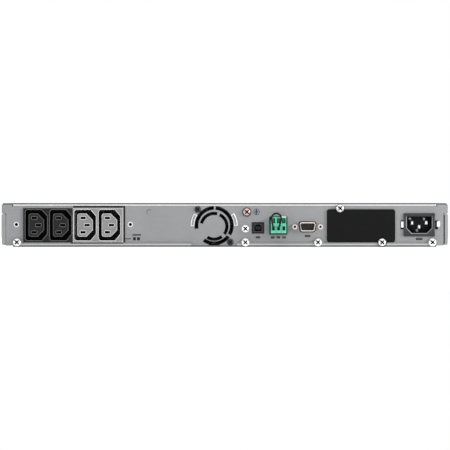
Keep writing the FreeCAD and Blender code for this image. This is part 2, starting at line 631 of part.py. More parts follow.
def power_button():
    x, z = POWER_BUTTON
    cap = rod(POWER_BUTTON_R, (x, FRONT_Y - 0.8, z), (x, FRONT_Y + PLASTIC + 0.5, z))
    cap = cap.makeFillet(0.5, [e for e in cap.Edges if abs(e.CenterOfMass.y - (FRONT_Y - 0.8)) < 1e-6])
    flange = rod(POWER_BUTTON_R + 1.2, (x, FRONT_Y + PLASTIC + 0.2, z), (x, FRONT_Y + PLASTIC + 1.2, z))
    stem = rod(1.8, (x, FRONT_Y + PLASTIC + 1.0, z), (x, DISPLAY_BOARD_Y - 4.7, z))
    ring = rod(4.2, (x, FRONT_Y - 2, z), (x, FRONT_Y - 0.5, z)).cut(rod(3.6, (x, -30, z), (x, 0, z)))
    return fused([cap, flange, stem]).cut(ring)


def key(name):
    x, z = KEYS[name]
    front, wall_in = FRONT_Y - KEY_PROUD, FRONT_Y + PLASTIC
    cap = prism(rectangle((x - KEY_HALF, x + KEY_HALF), (z - KEY_HALF, z + KEY_HALF), 1.2), "Y", front,
                wall_in + 0.5)
    cap = cap.makeFillet(0.4, [e for e in cap.Edges if abs(e.CenterOfMass.y - front) < 1e-6
                               and e.BoundBox.YLength < 1e-6])
    r = KEY_HALF + 0.8
    flange = prism(rectangle((x - r, x + r), (z - r, z + r), 1.0), "Y", wall_in + 0.2, wall_in + 1.2)
    stem = rod(1.6, (x, wall_in + 1.0, z), (x, DISPLAY_BOARD_Y - 4.7, z))
    return fused([cap, flange, stem])


def drawer_front():
    shell = front_shell(SPLIT_X + 0.2, HALF, False)
    wall_in = FRONT_Y + PLASTIC
    low, high, half = DRAWER_GRILLE
    posts = [rod(3.6, (x, wall_in - 0.1, 0), (x, TRAY_Y[0], 0)) for x in STAKES_X]
    pips = [rod(1.4, (x, TRAY_Y[0] - 0.1, 0), (x, TRAY_Y[0] + SHEET + 0.8, 0)) for x in STAKES_X]
    bosses = [rod(4.2, (x, wall_in - 0.1, 0), (x, -1.0, 0)) for x in THUMBSCREW_X]
    shell = fused([shell] + posts + pips + bosses)
    shell = shell.cut(window_cut((low, high), half, 2.0))
    for x in THUMBSCREW_X:
        shell = shell.cut(rod(6.3, (x, FRONT_Y - 1, 0), (x, FRONT_Y + 1.4, 0)))
        shell = shell.cut(rod(THUMBSCREW_R + 0.15, (x, FRONT_Y, 0), (x, 1, 0)))
    return shell


STAKES_X = (8.0, 198.0)


def thumbscrew(x):
    """A captive knurled screw: a fluted head in front of the drawer, and a shank into the frame."""
    head_r, head_y = 5.4, (FRONT_Y - 5.0, FRONT_Y + 1.2)
    head = rod(head_r, (x, head_y[0], 0), (x, head_y[1], 0))
    head = head.makeFillet(0.8, [e for e in head.Edges if abs(e.CenterOfMass.y - head_y[0]) < 1e-6])
    flutes = []
    count = 20
    for i in range(count):
        a = 2 * math.pi * i / count
        at = (x + (head_r + 0.25) * math.cos(a), (head_r + 0.25) * math.sin(a))
        flutes.append(rod(0.6, (at[0], head_y[0] - 1, at[1]), (at[0], head_y[1] - 1.4, at[1])))
    head = head.cut(Part.makeCompound(flutes))
    head = head.cut(box((x - 3.6, x + 3.6), (head_y[0] - 1, head_y[0] + 1.2), (-0.6, 0.6)))
    shank = rod(THUMBSCREW_R, (x, head_y[1] - 0.1, 0), (x, 6.0, 0))
    return fused([head, shank])


# ---- battery drawer -----------------------------------------------------------------------------
def battery_tray():
    x, y, low = TRAY_X, TRAY_Y, TRAY_LOW
    floor = box(x, y, (low, low + SHEET))
    ends = [box(x, (y[0], y[0] + SHEET), (low, 9.0)), box(x, (y[1] - SHEET, y[1]), (low, 9.0))]
    sides = [box((x[0], x[0] + SHEET), y, (low, 0.0)), box((x[1] - SHEET, x[1]), y, (low, 0.0))]
    tray = fused([floor] + ends + sides)
    tray = bore_y(tray, [(sx, 0) for sx in STAKES_X], 1.5, (y[0] - 1, y[0] + 2))
    vents = [prism(rectangle((vx - 5, vx + 5), (-13, 2), 3.0), "Y", y[0] - 1, y[0] + 2)
             for vx in range(28, 190, 16)]
    tray = tray.cut(Part.makeCompound(vents))
    return tray.cut(box((PLUG_X - 9, PLUG_X + 9), (y[1] - 2, y[1] + 1), (PLUG_Z - 4.6, PLUG_Z + 4.6)))


def cell_places():
    """(low x, low y, side that the terminals face) of each battery block."""
    left, right = TRAY_X[0] + SHEET + 0.5, TRAY_X[1] - SHEET - 0.5 - CELL[0]
    front, back = TRAY_Y[0] + SHEET + 1.0, TRAY_Y[1] - SHEET - 2.0 - CELL[1]
    return [(left, front, 1), (left, back, 1), (right, front, -1), (right, back, -1)]


def terminal_places():
    """(face x, y, side) of the two terminals of each block; opposite blocks' are staggered."""
    spots = []
    for x, y, side in cell_places():
        face = x + CELL[0] if side > 0 else x
        for offset in ((18.0, 133.0) if side > 0 else (38.0, 113.0)):
            spots.append((face, y + offset, side))
    return spots


def battery_cells():
    low = TRAY_LOW + SHEET
    blocks = []
    for x, y, side in cell_places():
        block = box((x, x + CELL[0]), (y, y + CELL[1]), (low, low + CELL[2]))
        block = block.makeFillet(1.5, [e for e in block.Edges if e.BoundBox.XLength > 90])
        seam = x + CELL[0] - 9 if side > 0 else x + 9
        groove = box((seam - 0.4, seam + 0.4), (y - 1, y + CELL[1] + 1), (low - 1, low + CELL[2] + 1))
        kept = box((seam - 1, seam + 1), (y + 0.6, y + CELL[1] - 0.6), (low + 0.6, low + CELL[2] - 0.6))
        groove = groove.cut(kept)
        blocks.append(block.cut(groove))
    return group(blocks)


def battery_leads():
    """Booted tabs on the terminals, the links between blocks, and the two leads to the plug."""
    z = PLUG_Z
    tabs, ends = [], []
    for face, y, side in terminal_places():
        xs = sorted((face + side * 0.05, face + side * 4.4))
        tabs.append(box(xs, (y - 3.5, y + 3.5), (z - 4.0, z + 4.0)))
        ends.append((face + side * 2.3, y))
    (a0, a1, b0, b1, c0, c1, d0, d1) = ends
    wire = 2.6

    def link(start, end, label):
        gap = 4.0
        middle = ((start[0] + end[0]) / 2 + 0.01, (start[1] + end[1]) / 2, z + 2.0)
        points = [(start[0], start[1] + gap, z), middle, (end[0], end[1] - gap, z)]
        return cord(points, wire, label)

    wires = [link(a1, b0, "left link"), link(c1, d0, "right link"), link(a0, c0, "front link")]
    rear = TRAY_Y[1] - SHEET - 2.1
    leads = [(b1, PLUG_X - LEAD_OFFSET, "positive lead"), (d1, PLUG_X + LEAD_OFFSET, "negative lead")]
    for (x, y), plug_x, label in leads:
        points = [(x, y + 3.8, z), ((x + plug_x) / 2, (y + 3.8 + rear) / 2, z + 0.6), (plug_x, rear, z)]
        wires.append(cord(points, wire, label))
    return group(tabs + wires)


def drawer_plug():
    """The blind-mate plug in the tray's rear wall, with its two pins."""
    wall = TRAY_Y[1]
    inner = wall - SHEET
    x, z = PLUG_X, PLUG_Z
    body = box((x - 8.6, x + 8.6), (inner - 2.0, wall + 1.6), (z - 4.4, z + 4.4))
    ear = box((x - 13.0, x + 13.0), (inner - 1.9, inner), (z - 6.5, z + 6.5))
    pins = [rod(1.9, (x + s * 4.0, wall + 1.0, z), (x + s * 4.0, wall + 10.0, z)) for s in (-1, 1)]
    return fused([body, ear] + pins)


def dock_connector():
    """The fixed half of the battery connector, behind the bay's rear wall."""
    face = BAY_BACK_Y + SHEET
    body = box((PLUG_X - 13.0, PLUG_X + 13.0), (face, face + 9.5), (PLUG_Z - 7.0, PLUG_Z + 7.0))
    sockets = [(PLUG_X + s * 4.0, PLUG_Z) for s in (-1, 1)]
    return bore_y(body, sockets, 2.1, (face - 1, face + 8.0))


# ---- fan ----------------------------------------------------------------------------------------
FAN_FRONT_Y = PANEL_IN - FAN_DEPTH
HUB_R = 9.6
SHAFT_R = 1.5


def fan_frame():
    """The moulded frame with its inlet struts and the bearing tube they carry."""
    cx, cz = FAN
    half = FAN_SIZE / 2
    y = (FAN_FRONT_Y, PANEL_IN)
    frame = prism(rectangle((cx - half, cx + half), (cz - half, cz + half), 3.0), "Y", *y)
    frame = frame.cut(rod(FAN_BORE_R + 0.3, (cx, y[0] - 1, cz), (cx, y[1] + 1, cz)))
    waist = prism(rectangle((cx - half - 1, cx + half + 1), (cz - half - 1, cz + half + 1), 0), "Y",
                  y[0] + 4.0, y[1] - 4.0)
    waist = waist.cut(rod(FAN_BORE_R + 1.5, (cx, y[0], cz), (cx, y[1], cz)))
    frame = frame.cut(waist)
    tube_end = y[0] + 15.0
    tube = rod(3.4, (cx, y[0], cz), (cx, tube_end, cz)).cut(rod(SHAFT_R + 0.05, (cx, y[0] + 1.5, cz),
                                                            (cx, tube_end + 1, cz)))
    disc = rod(HUB_R, (cx, y[0], cz), (cx, y[0] + 2.0, cz))
    disc = disc.cut(rod(SHAFT_R + 0.05, (cx, y[0] + 1.5, cz), (cx, y[0] + 3, cz)))
    coil = rod(7.2, (cx, y[0] + 2.0, cz), (cx, y[0] + 12.0, cz))
    coil = coil.cut(rod(3.3, (cx, y[0], cz), (cx, y[1], cz)))
    struts = []
    for turn in (45, 135, 225, 315):
        strut = box((cx + HUB_R - 1, cx + FAN_BORE_R + 1.2), (y[0], y[0] + 2.0), (cz - 1.1, cz + 1.1))
        strut.rotate(V(cx, 0, cz), Y_AXIS, turn)
        struts.append(strut)
    frame = fused([frame, disc, tube, coil] + struts)
    corners = [(cx + a * FAN_HOLE, cz + b * FAN_HOLE) for a in (-1, 1) for b in (-1, 1)]
    return bore_y(frame, corners, 1.65, (y[0] - 1, y[1] + 1))


def fan_rotor():
    """The hub cup with its shaft and seven raked blades, in the frame's bore."""
    cx, cz = FAN
    y0, y1 = FAN_FRONT_Y + 2.6, PANEL_IN - 1.2
    cup = rod(HUB_R, (cx, y0, cz), (cx, y1, cz))
    cup = cup.makeFillet(0.8, [e for e in cup.Edges if abs(e.CenterOfMass.y - y1) < 1e-6])
    cup = cup.cut(rod(HUB_R - 1.4, (cx, y0 - 1, cz), (cx, y1 - 1.6, cz)))
    shaft = rod(SHAFT_R, (cx, FAN_FRONT_Y + 1.9, cz), (cx, y1 - 1.0, cz))
    middle = (y0 + y1) / 2
    blades = []
    for i in range(7):
        sections = []
        stations = [(HUB_R - 0.6, 50, 13.0), (13.5, 40, 14.0), (FAN_BORE_R - 0.5, 30, 14.5)]
        for radius, pitch, chord in stations:
            a = math.radians(pitch)
            along = V(0, math.sin(a), math.cos(a)) * (chord / 2)
            thick = V(0, math.cos(a), -math.sin(a)) * 0.45
            at = V(cx + radius, middle, cz)
            points = [at - along - thick, at + along - thick, at + along + thick, at - along + thick]
            sections.append(Part.makePolygon(points + points[:1]))
        blade = Part.makeLoft(sections, True, True)
        blade.rotate(V(cx, 0, cz), Y_AXIS, i * 360 / 7)
        blades.append(blade)
    swept = rod(FAN_BORE_R - 0.3, (cx, y0, cz), (cx, y1, cz))
    swept = swept.cut(rod(HUB_R - 0.7, (cx, y0 - 1, cz), (cx, y1 + 1, cz)))
    blades = [blade.common(swept) for blade in blades]
    return fused([cup, shaft] + blades)


def fan_screws():
    one = screw(3.3, 1.9, 1.6, 9.0)
    places = [(FAN[0] + a * FAN_HOLE, REAR_Y, FAN[1] + a * FAN_HOLE) for a in (-1, 1)]
    return group([placed(one, place, (0, 1, 0)) for place in places])


# ---- rear sockets -------------------------------------------------------------------------------
def outlet_centres():
    return [OUTLET_SEAM_X + k * OUTLET_PITCH for k in (1.5, 0.5, -0.5, -1.5)]


def socket_outline(x, half_w, half_h, cut_w, cut_h, radius):
    """A C13 outline on its side: two rounded corners to +X, two cut corners to -X."""
    z = OUTLET_Z
    return [(x + half_w, z - half_h, radius), (x + half_w, z + half_h, radius),
            (x - half_w + cut_w, z + half_h, 0.8), (x - half_w, z + half_h - cut_h, 0.8),
            (x - half_w, z - half_h + cut_h, 0.8), (x - half_w + cut_w, z - half_h, 0.8)]


def contact_slots(x):
    """(centre x, centre z) of the three contacts of the outlet at x."""
    return [(x + 2.0, OUTLET_Z + 7.0), (x + 2.0, OUTLET_Z - 7.0), (x - 2.0, OUTLET_Z)]


def outlet_block(low_x, centres):
    high_x = low_x + OUTLET_BLOCK_W
    face = REAR_Y + 1.7
    outline = rectangle((low_x + 0.05, high_x - 0.05), (OUTLET_LOW, OUTLET_HIGH), 0.5)
    flange = prism(outline, "Y", REAR_Y, face)
    flange = flange.makeChamfer(0.35, edges_at(flange, face))
    middle = (low_x + high_x) / 2
    body = box((middle - 23.1, middle + 23.1), (REAR_Y - 26, REAR_Y),
               (OUTLET_LOW + 1.2, OUTLET_HIGH - 1.2))
    block = fused([flange, body])
    for x in centres:
        well = prism(socket_outline(x, 10.7, 15.1, 5.4, 6.4, 2.8), "Y", REAR_Y - 17, face + 1)
        tongue = prism(socket_outline(x, 7.6, 11.4, 6.4, 6.4, 2.4), "Y", REAR_Y - 18, face - 0.4)
        tongue = tongue.makeFillet(0.3, edges_at(tongue, face - 0.4))
        block = block.cut(well.cut(tongue))
        for sx, sz in contact_slots(x):
            block = block.cut(box((sx - 2.6, sx + 2.6), (REAR_Y - 15, face + 1), (sz - 1.25, sz + 1.25)))
            block = block.cut(box((sx - 2.2, sx + 2.2), (REAR_Y - 27, REAR_Y - 14), (sz - 0.5, sz + 0.5)))
    return block


def outlet_contacts():
    """A folded spring contact in each slot, with its tail through the back of the block."""
    made = []
    for x in outlet_centres():
        for sx, sz in contact_slots(x):
            leaf_y = (REAR_Y - 14.8, REAR_Y - 6.0)
            clip = box((sx - 2.3, sx + 2.3), leaf_y, (sz - 1.05, sz + 1.05))
            gap = box((sx - 3, sx + 3), (leaf_y[0] + 0.8, leaf_y[1] + 1), (sz - 0.75, sz + 0.75))
            clip = clip.cut(gap)
            tail = box((sx - 2.0, sx + 2.0), (REAR_Y - 33, leaf_y[0] + 0.1), (sz - 0.4, sz + 0.4))
            made.append(fused([clip, tail]))
    return group(made)


def inlet_outline(half_w, half_h, cut, radius):
    x, z = INLET
    low, high = z - half_h, z + half_h
    return [(x - half_w, high, radius), (x + half_w, high, radius), (x + half_w, low + cut, 0.8),
            (x + half_w - cut, low, 0.8), (x - half_w + cut, low, 0.8), (x - half_w, low + cut, 0.8)]


def inlet_pin_places():
    x, z = INLET
    return [(x - 7.0, z + 2.0), (x + 7.0, z + 2.0), (x, z - 2.0)]


def inlet_housing():
    x, z = INLET
    face = REAR_Y + 2.0
    half_w, half_h = INLET_HALF_W, INLET_HALF_H
    flange = prism(rectangle((x - half_w, x + half_w), (z - half_h, z + half_h), 0.9), "Y", REAR_Y, face)
    flange = flange.makeFillet(0.5, edges_at(flange, face))
    body = box((x - 13.7, x + 13.7), (REAR_Y - 23, REAR_Y), (z - 9.7, z + 9.7))
    wings = [box((x - INLET_NOTCH_X + 0.3, x + INLET_NOTCH_X - 0.3), (REAR_Y - 8, REAR_Y - 2.2),
                 (INLET_NOTCH_Z[0] + 0.3, INLET_NOTCH_Z[1] - 0.3))]
    housing = fused([flange, body] + wings)
    housing = housing.cut(prism(inlet_outline(12.35, 8.15, 5.0, 1.0), "Y", REAR_Y - 15, face + 1))
    rims = edges_at(housing, face)
    mouth = [e for e in rims if abs(e.CenterOfMass.x - x) < 13 and abs(e.CenterOfMass.z - z) < 9]
    housing = housing.makeChamfer(0.7, mouth)
    for px, pz in inlet_pin_places():
        way = box((px - 1.05, px + 1.05), (REAR_Y - 24, REAR_Y - 14), (pz - 2.05, pz + 2.05))
        housing = housing.cut(way)
    return housing


def inlet_metalwork():
    """The three pins, and the spring clip that holds the inlet in the panel."""
    left, right = INLET[0] + INLET_HALF_W, INLET[0] - INLET_HALF_W
    made = [box((left + 0.1, left + 2.3), (REAR_Y + 0.02, REAR_Y + 0.7), (-2.3, 3.6)),
            box((right - 5.0, right - 2.0), (REAR_Y + 0.02, REAR_Y + 0.7), (-1.4, 3.7))]
    for px, pz in inlet_pin_places():
        pin = box((px - 1.0, px + 1.0), (REAR_Y - 31, REAR_Y + 0.6), (pz - 2.0, pz + 2.0))
        pin = pin.makeChamfer(0.3, [e for e in edges_at(pin, REAR_Y + 0.6) if e.BoundBox.ZLength > 1])
        ends = [e for e in edges_at(pin, REAR_Y + 0.6) if e.BoundBox.XLength > 1]
        made.append(pin.makeChamfer(0.95, ends))
    return group(made)


def d_shape(half_w, half_h, radius, x=None, z=None):
    """A D connector's outline: wider at the top, with slanting sides."""
    x = SERIAL[0] if x is None else x
    z = SERIAL[1] if z is None else z
    lean = 2 * half_h * math.tan(math.radians(10))
    return [(x - half_w, z + half_h, radius), (x + half_w, z + half_h, radius),
            (x + half_w - lean, z - half_h, radius), (x - half_w + lean, z - half_h, radius)]


def serial_shell():
    x, z = SERIAL
    plate = prism(rectangle((x - 15.3, x + 15.3), (z - 6.2, z + 6.2), 1.0), "Y",
                  PANEL_IN - 0.9, PANEL_IN - 0.02)
    mouth_y = REAR_Y + 5.0
    tube = prism(d_shape(8.1, 4.4, 1.9), "Y", PANEL_IN - 0.9, mouth_y)
    tube = tube.makeChamfer(0.35, [e for e in tube.Edges if abs(e.BoundBox.YMin - mouth_y) < 1e-6])
    rear = prism(rectangle((x - 9.6, x + 9.6), (z - 5.5, z + 5.5), 1.2), "Y",
                 PANEL_IN - 7.0, PANEL_IN - 0.5)
    feet = [box(sorted((x + s * 9.0, x + s * 7.5)), (PANEL_IN - 6.5, PANEL_IN - 3), (COMMS_TOP, z - 4.5))
            for s in (-1, 1)]
    shell = fused([plate, tube, rear] + feet)
    shell = shell.cut(prism(d_shape(7.2, 3.5, 1.3), "Y", PANEL_IN - 8, REAR_Y + 6))
    return bore_y(shell, [(x - SERIAL_JACK, z), (x + SERIAL_JACK, z)], 1.65, (PANEL_IN - 2, PANEL_IN + 1))


def usb_mouth(inset):
    """The outline of a type-B port's mouth: square below, with its two upper corners cut."""
    x, z = USB
    half_w, half_h, cut = 4.25 - inset, 3.9 - inset, 1.75
    low, high = z - half_h, z + half_h
    return [(x - half_w, low, 0.2), (x + half_w, low, 0.2), (x + half_w, high - cut, 0.2),
            (x + half_w - cut, high, 0.2), (x - half_w + cut, high, 0.2), (x - half_w, high - cut, 0.2)]


def usb_shell():
    """The metal liner of the USB port's mouth."""
    y = (REAR_Y - 8.4, REAR_Y + 0.8)
    return prism(usb_mouth(0.02), "Y", *y).cut(prism(usb_mouth(0.42), "Y", y[0] - 1, y[1] + 1))


def port_inserts():
    """The USB port's housing, the serial connector's insulator, and the dark ring round its shell."""
    x, z = USB
    face = REAR_Y + 0.5
    y0 = REAR_Y - 15.5
    housing = prism(rectangle((x - 6.0, x + 6.0), (z - 5.45, z + 5.45), 0.6), "Y", y0, face)
    feet = [box(sorted((x + s * 6.0, x + s * 5.0)), (y0 + 2, y0 + 5), (COMMS_TOP, z)) for s in (-1, 1)]
    tongue = prism(rectangle((x - 2.6, x + 2.6), (z - 1.6, z + 1.6), 0.3), "Y", REAR_Y - 9, face - 1.4)
    mouth = prism(usb_mouth(0.0), "Y", REAR_Y - 8.5, face + 1)
    usb = fused([housing] + feet).cut(mouth.cut(tongue))
    sx, sz = SERIAL
    serial = prism(d_shape(7.16, 3.46, 1.25), "Y", PANEL_IN - 7.5, REAR_Y + 3.9)
    pins = [(sx + (i - 2) * 2.77, sz + 1.42) for i in range(5)]
    pins += [(sx + (i - 1.5) * 2.77, sz - 1.42) for i in range(4)]
    serial = bore_y(serial, pins, 0.62, (REAR_Y - 2, REAR_Y + 5))
    ring = prism(d_shape(9.25, 5.4, 2.35), "Y", PANEL_IN + 0.02, REAR_Y - 0.2)
    ring = ring.cut(prism(d_shape(8.14, 4.44, 1.92), "Y", PANEL_IN - 1, REAR_Y + 1))
    return group([usb, serial, ring])


def serial_jacks():
    """Hexagonal jack sockets that fix the serial connector and take the cable's screws."""
    made = []
    for side in (-1, 1):
        x, z = SERIAL[0] + side * SERIAL_JACK, SERIAL[1]
        r = 4.7 / math.sqrt(3)
        angles = [math.radians(60 * i) for i in range(6)]
        hexagon = [(x + r * math.cos(a), z + r * math.sin(a)) for a in angles]
        head = prism(hexagon, "Y", REAR_Y, REAR_Y + 4.8)
        shank = rod(1.55, (x, PANEL_IN - 4.0, z), (x, REAR_Y + 0.1, z))
        jack = fused([head, shank])
        made.append(bore_y(jack, [(x, z)], 1.25, (REAR_Y - 0.2, REAR_Y + 6)))
    return group(made)


def ground_screw():
    """The protective-earth screw over its toothed washer."""
    x, z = GROUND
    washer = rod(4.5, (x, REAR_Y, z), (x, REAR_Y + 0.8, z))
    washer = washer.cut(rod(2.2, (x, REAR_Y - 1, z), (x, REAR_Y + 2, z)))
    teeth = []
    for i in range(12):
        notch = box((x + 3.7, x + 5.2), (REAR_Y - 1, REAR_Y + 2), (z - 0.35, z + 0.35))
        notch.rotate(V(x, 0, z), Y_AXIS, i * 30)
        teeth.append(notch)
    washer = washer.cut(Part.makeCompound(teeth))
    bolt = placed(screw(3.6, 2.6, 1.95, 9.0), (x, REAR_Y + 0.82, z), (0, 1, 0))
    return group([washer, bolt])


def terminal_header():
    """The fixed half of the pluggable terminal: a box round three pins, and a shroud past the panel."""
    x = TERMINAL_X
    outer = box((x - 8.4, x + 8.4), (REAR_Y - 16, REAR_Y - 2.9), (COMMS_TOP, 3.7))
    outer = outer.cut(box((x - 7.4, x + 7.4), (REAR_Y - 13.5, REAR_Y), (-7.5, 2.7)))
    shroud = box((x - SHROUD_HALF, x + SHROUD_HALF), (REAR_Y - 3.0, TERMINAL_FACE_Y - 1.0),
                 (SHROUD_LOW, 0.6))
    inside = box((x - 7.95, x + 7.95), (REAR_Y - 4.0, TERMINAL_FACE_Y), (SHROUD_LOW + 0.7, 2.0))
    shroud = shroud.cut(inside)
    pins = [box((cx - 0.5, cx + 0.5), (REAR_Y - 20, REAR_Y - 4.5), (ENTRY_Z - 0.5, ENTRY_Z + 0.5))
            for cx in entry_x()]
    return fused([outer, shroud] + pins)


def entry_x():
    return [TERMINAL_X + k * TERMINAL_PITCH for k in (1, 0, -1)]


def terminal_plug():
    """The pluggable terminal block: wire entries in its face, screw wells in its sloping top."""
    x, face = TERMINAL_X, TERMINAL_FACE_Y
    back = REAR_Y - 2.4
    side = [(back, TERMINAL_LOW, 0), (face, TERMINAL_LOW, 0.6), (face, 0.4, 0.6), (face - 2.4, 1.4, 0.4),
            (face - 5.0, TERMINAL_HIGH, 0.6), (back, TERMINAL_HIGH, 0)]
    body = prism(side, "X", x - TERMINAL_HALF, x + TERMINAL_HALF)
    nose = box((x - 7.1, x + 7.1), (REAR_Y - 13.0, REAR_Y - 2.0), (-7.2, 2.4))
    plug = fused([body, nose])
    for cx in entry_x():
        entry = box((cx - 1.35, cx + 1.35), (face - 10.5, face + 1), (ENTRY_Z - 2.0, ENTRY_Z + 2.0))
        plug = plug.cut(entry)
        plug = plug.cut(box((cx - 1.85, cx + 1.85), (face - 9.0, face + 1), (1.9, TERMINAL_HIGH - 0.9)))
        plug = plug.cut(rod(1.6, (cx, face - 6.5, -1.2), (cx, face - 6.5, TERMINAL_HIGH + 1)))
        socket = box((cx - 0.8, cx + 0.8), (REAR_Y - 14, REAR_Y - 3.5), (ENTRY_Z - 0.8, ENTRY_Z + 0.8))
        plug = plug.cut(socket)
    grooves = [x + k * TERMINAL_PITCH for k in (-0.5, 0.5)]
    for gx in grooves:
        plug = plug.cut(box((gx - 0.2, gx + 0.2), (face - 0.4, face + 1), (TERMINAL_LOW - 1, 0)))
    return plug


def terminal_clamps():
    """The slotted clamp screws in the plug's wells."""
    made = []
    for cx in entry_x():
        y = TERMINAL_FACE_Y - 6.5
        head = rod(1.5, (cx, y, -0.9), (cx, y, 1.7))
        made.append(head.cut(box((cx - 2, cx + 2), (y - 0.25, y + 0.25), (1.1, 2))))
    return group(made)


JUMPER_D = 1.8
JUMPER_ROUTE = [
    (-47.5, 347.0, -3.1), (-47.4, 351.4, -3.2), (-47.2, 355.6, -2.5), (-46.6, 358.6, 0.6),
    (-45.8, 359.3, 4.9), (-45.7, 358.7, 8.8), (-48.4, 358.3, 11.5), (-52.2, 358.6, 11.5),
    (-54.9, 359.0, 8.8), (-54.8, 359.2, 4.8), (-53.7, 358.6, 0.6), (-52.9, 355.6, -2.6),
    (-52.7, 351.4, -3.2), (-52.6, 347.0, -3.1),
]


def jumper_wire():
    return cord(JUMPER_ROUTE, JUMPER_D, "jumper wire")


def slot_cover():
    """The blanking plate over the communication slot, with a lug for each of its two screws."""
    y = (REAR_Y, REAR_Y + 2.0)
    plate = prism(rectangle((SLOT_LOW_X, SLOT_HIGH_X), (SLOT_LOW, SLOT_HIGH), 2.4), "Y", *y)
    lugs = [rod(r, (x, y[0], z), (x, y[1], z)) for x, z, r in SLOT_LUGS]
    plate = fused([plate] + lugs)
    plate = plate.makeFillet(0.5, edges_at(plate, y[1]))
    return bore_y(plate, [(x, z) for x, z, _ in SLOT_LUGS], 2.05, (y[0] - 1, y[1] + 1))


# ---- inside -------------------------------------------------------------------------------------
def card_cage():
    """The sheet-metal tunnel that a plug-in card slides into."""
    wall = 1.0
    x = (SLOT_LOW_X + 0.5, SLOT_HIGH_X - 0.6)
    z = (-16.6, 15.4)
    cage = box(x, (212.0, PANEL_IN - 0.05), z)
    cage = cage.cut(box((x[0] + wall, x[1] - wall), (213.0, REAR_Y), (z[0] + wall, z[1] - wall)))
    for lug_x, lug_z, _ in SLOT_LUGS:
        cage = cage.cut(rod(3.2, (lug_x, PANEL_IN - 8, lug_z), (lug_x, REAR_Y, lug_z)))
    return cage


def comms_board():
    """The board that carries the rear connectors, and the bracket that ties it to the rear panel."""
    board = box((-98.0, -24.0), (284.0, PANEL_IN - 2.0), (COMMS_TOP - 1.6, COMMS_TOP))
    foot = COMMS_TOP - 1.6 - SHEET
    path = [(PANEL_IN - 14, foot), (PANEL_IN, foot), (PANEL_IN, 0.5)]
    bracket = folded_sheet(path, SHEET, "X", -24.8, -15.8)
    bracket = bore_y(bracket, [BRACKET_SCREW], 2.05, (PANEL_IN - 2, PANEL_IN + 1))
    return group([board, bracket])


def power_board():
    return box((-208.0, -12.0), (24.0, 196.0), (BOARD_Z, BOARD_Z + 1.6))


def heat_sinks():
    top = BOARD_Z + 1.6
    made = []
    for x in (-166.0, -98.0):
        base = box((x, x + 32), (60, 180), (top, top + 4))
        edges = [x + 0.6 + 4.9 * i for i in range(7)]
        fins = [box((edge, edge + 1.4), (60, 180), (top + 3.9, top + 29)) for edge in edges]
        made.append(fused([base] + fins))
    return group(made)


CORE_X = (-60.0, -18.0)
CORE_Y = (56.0, 104.0)


def transformer_core():
    top = BOARD_Z + 1.6
    core = box(CORE_X, CORE_Y, (top + 4, top + 24))
    middle = (CORE_Y[0] + CORE_Y[1]) / 2
    for y in ((CORE_Y[0] + 6, middle - 7), (middle + 7, CORE_Y[1] - 6)):
        core = core.cut(box((CORE_X[0] + 6, CORE_X[1] - 6), y, (top, top + 30)))
    return core


def transformer_winding():
    """The winding on the core's middle leg."""
    top = BOARD_Z + 1.6
    middle = (CORE_Y[0] + CORE_Y[1]) / 2
    x = (CORE_X[0] + 6.4, CORE_X[1] - 6.4)
    front, back = middle - 16.5, middle + 16.5
    low, high = top + 0.2, top + 27.5
    corners = [(front, low, 5), (back, low, 5), (back, high, 5), (front, high, 5)]
    winding = prism(corners, "X", *x)
    return winding.cut(box((x[0] - 1, x[1] + 1), (middle - 7.2, middle + 7.2), (top + 3.8, top + 24.2)))


def capacitors():
    top = BOARD_Z + 1.6
    made = []
    for i in range(5):
        can = rod(9.0, (-190.0, 58.0 + 24.0 * i, top), (-190.0, 58.0 + 24.0 * i, top + 26.0))
        can = can.makeFillet(1.0, [e for e in can.Edges if abs(e.CenterOfMass.z - top - 26) < 1e-6])
        ring = rod(9.5, (-190.0, 58.0 + 24.0 * i, top + 2.2), (-190.0, 58.0 + 24.0 * i, top + 3.2))
        core = rod(8.6, (-190.0, 58.0 + 24.0 * i, top), (-190.0, 58.0 + 24.0 * i, top + 5))
        made.append(can.cut(ring.cut(core)))
    return group(made)


def relays():
    top = BOARD_Z + 1.6
    made = []
    for i in range(4):
        y = 118.0 + 18.0 * i
        case = box((-62.0, -33.0), (y, y + 12.7), (top, top + 20.0))
        made.append(case.makeFillet(0.8, [e for e in case.Edges if e.BoundBox.ZLength > 10]))
    return group(made)


INLET_LEAD_ENDS = [-197.0, -192.0, -187.0]
OUTLET_LEADS = [
    # x and z of the contact, z of the long run in front of the outlets, x and z beside the bay
    (138.9, 7.1, 13.2, -13.5, 4.0), (134.9, 0.1, 9.7, -17.5, 2.0), (138.9, -6.9, 6.2, -21.5, 0.0),
]


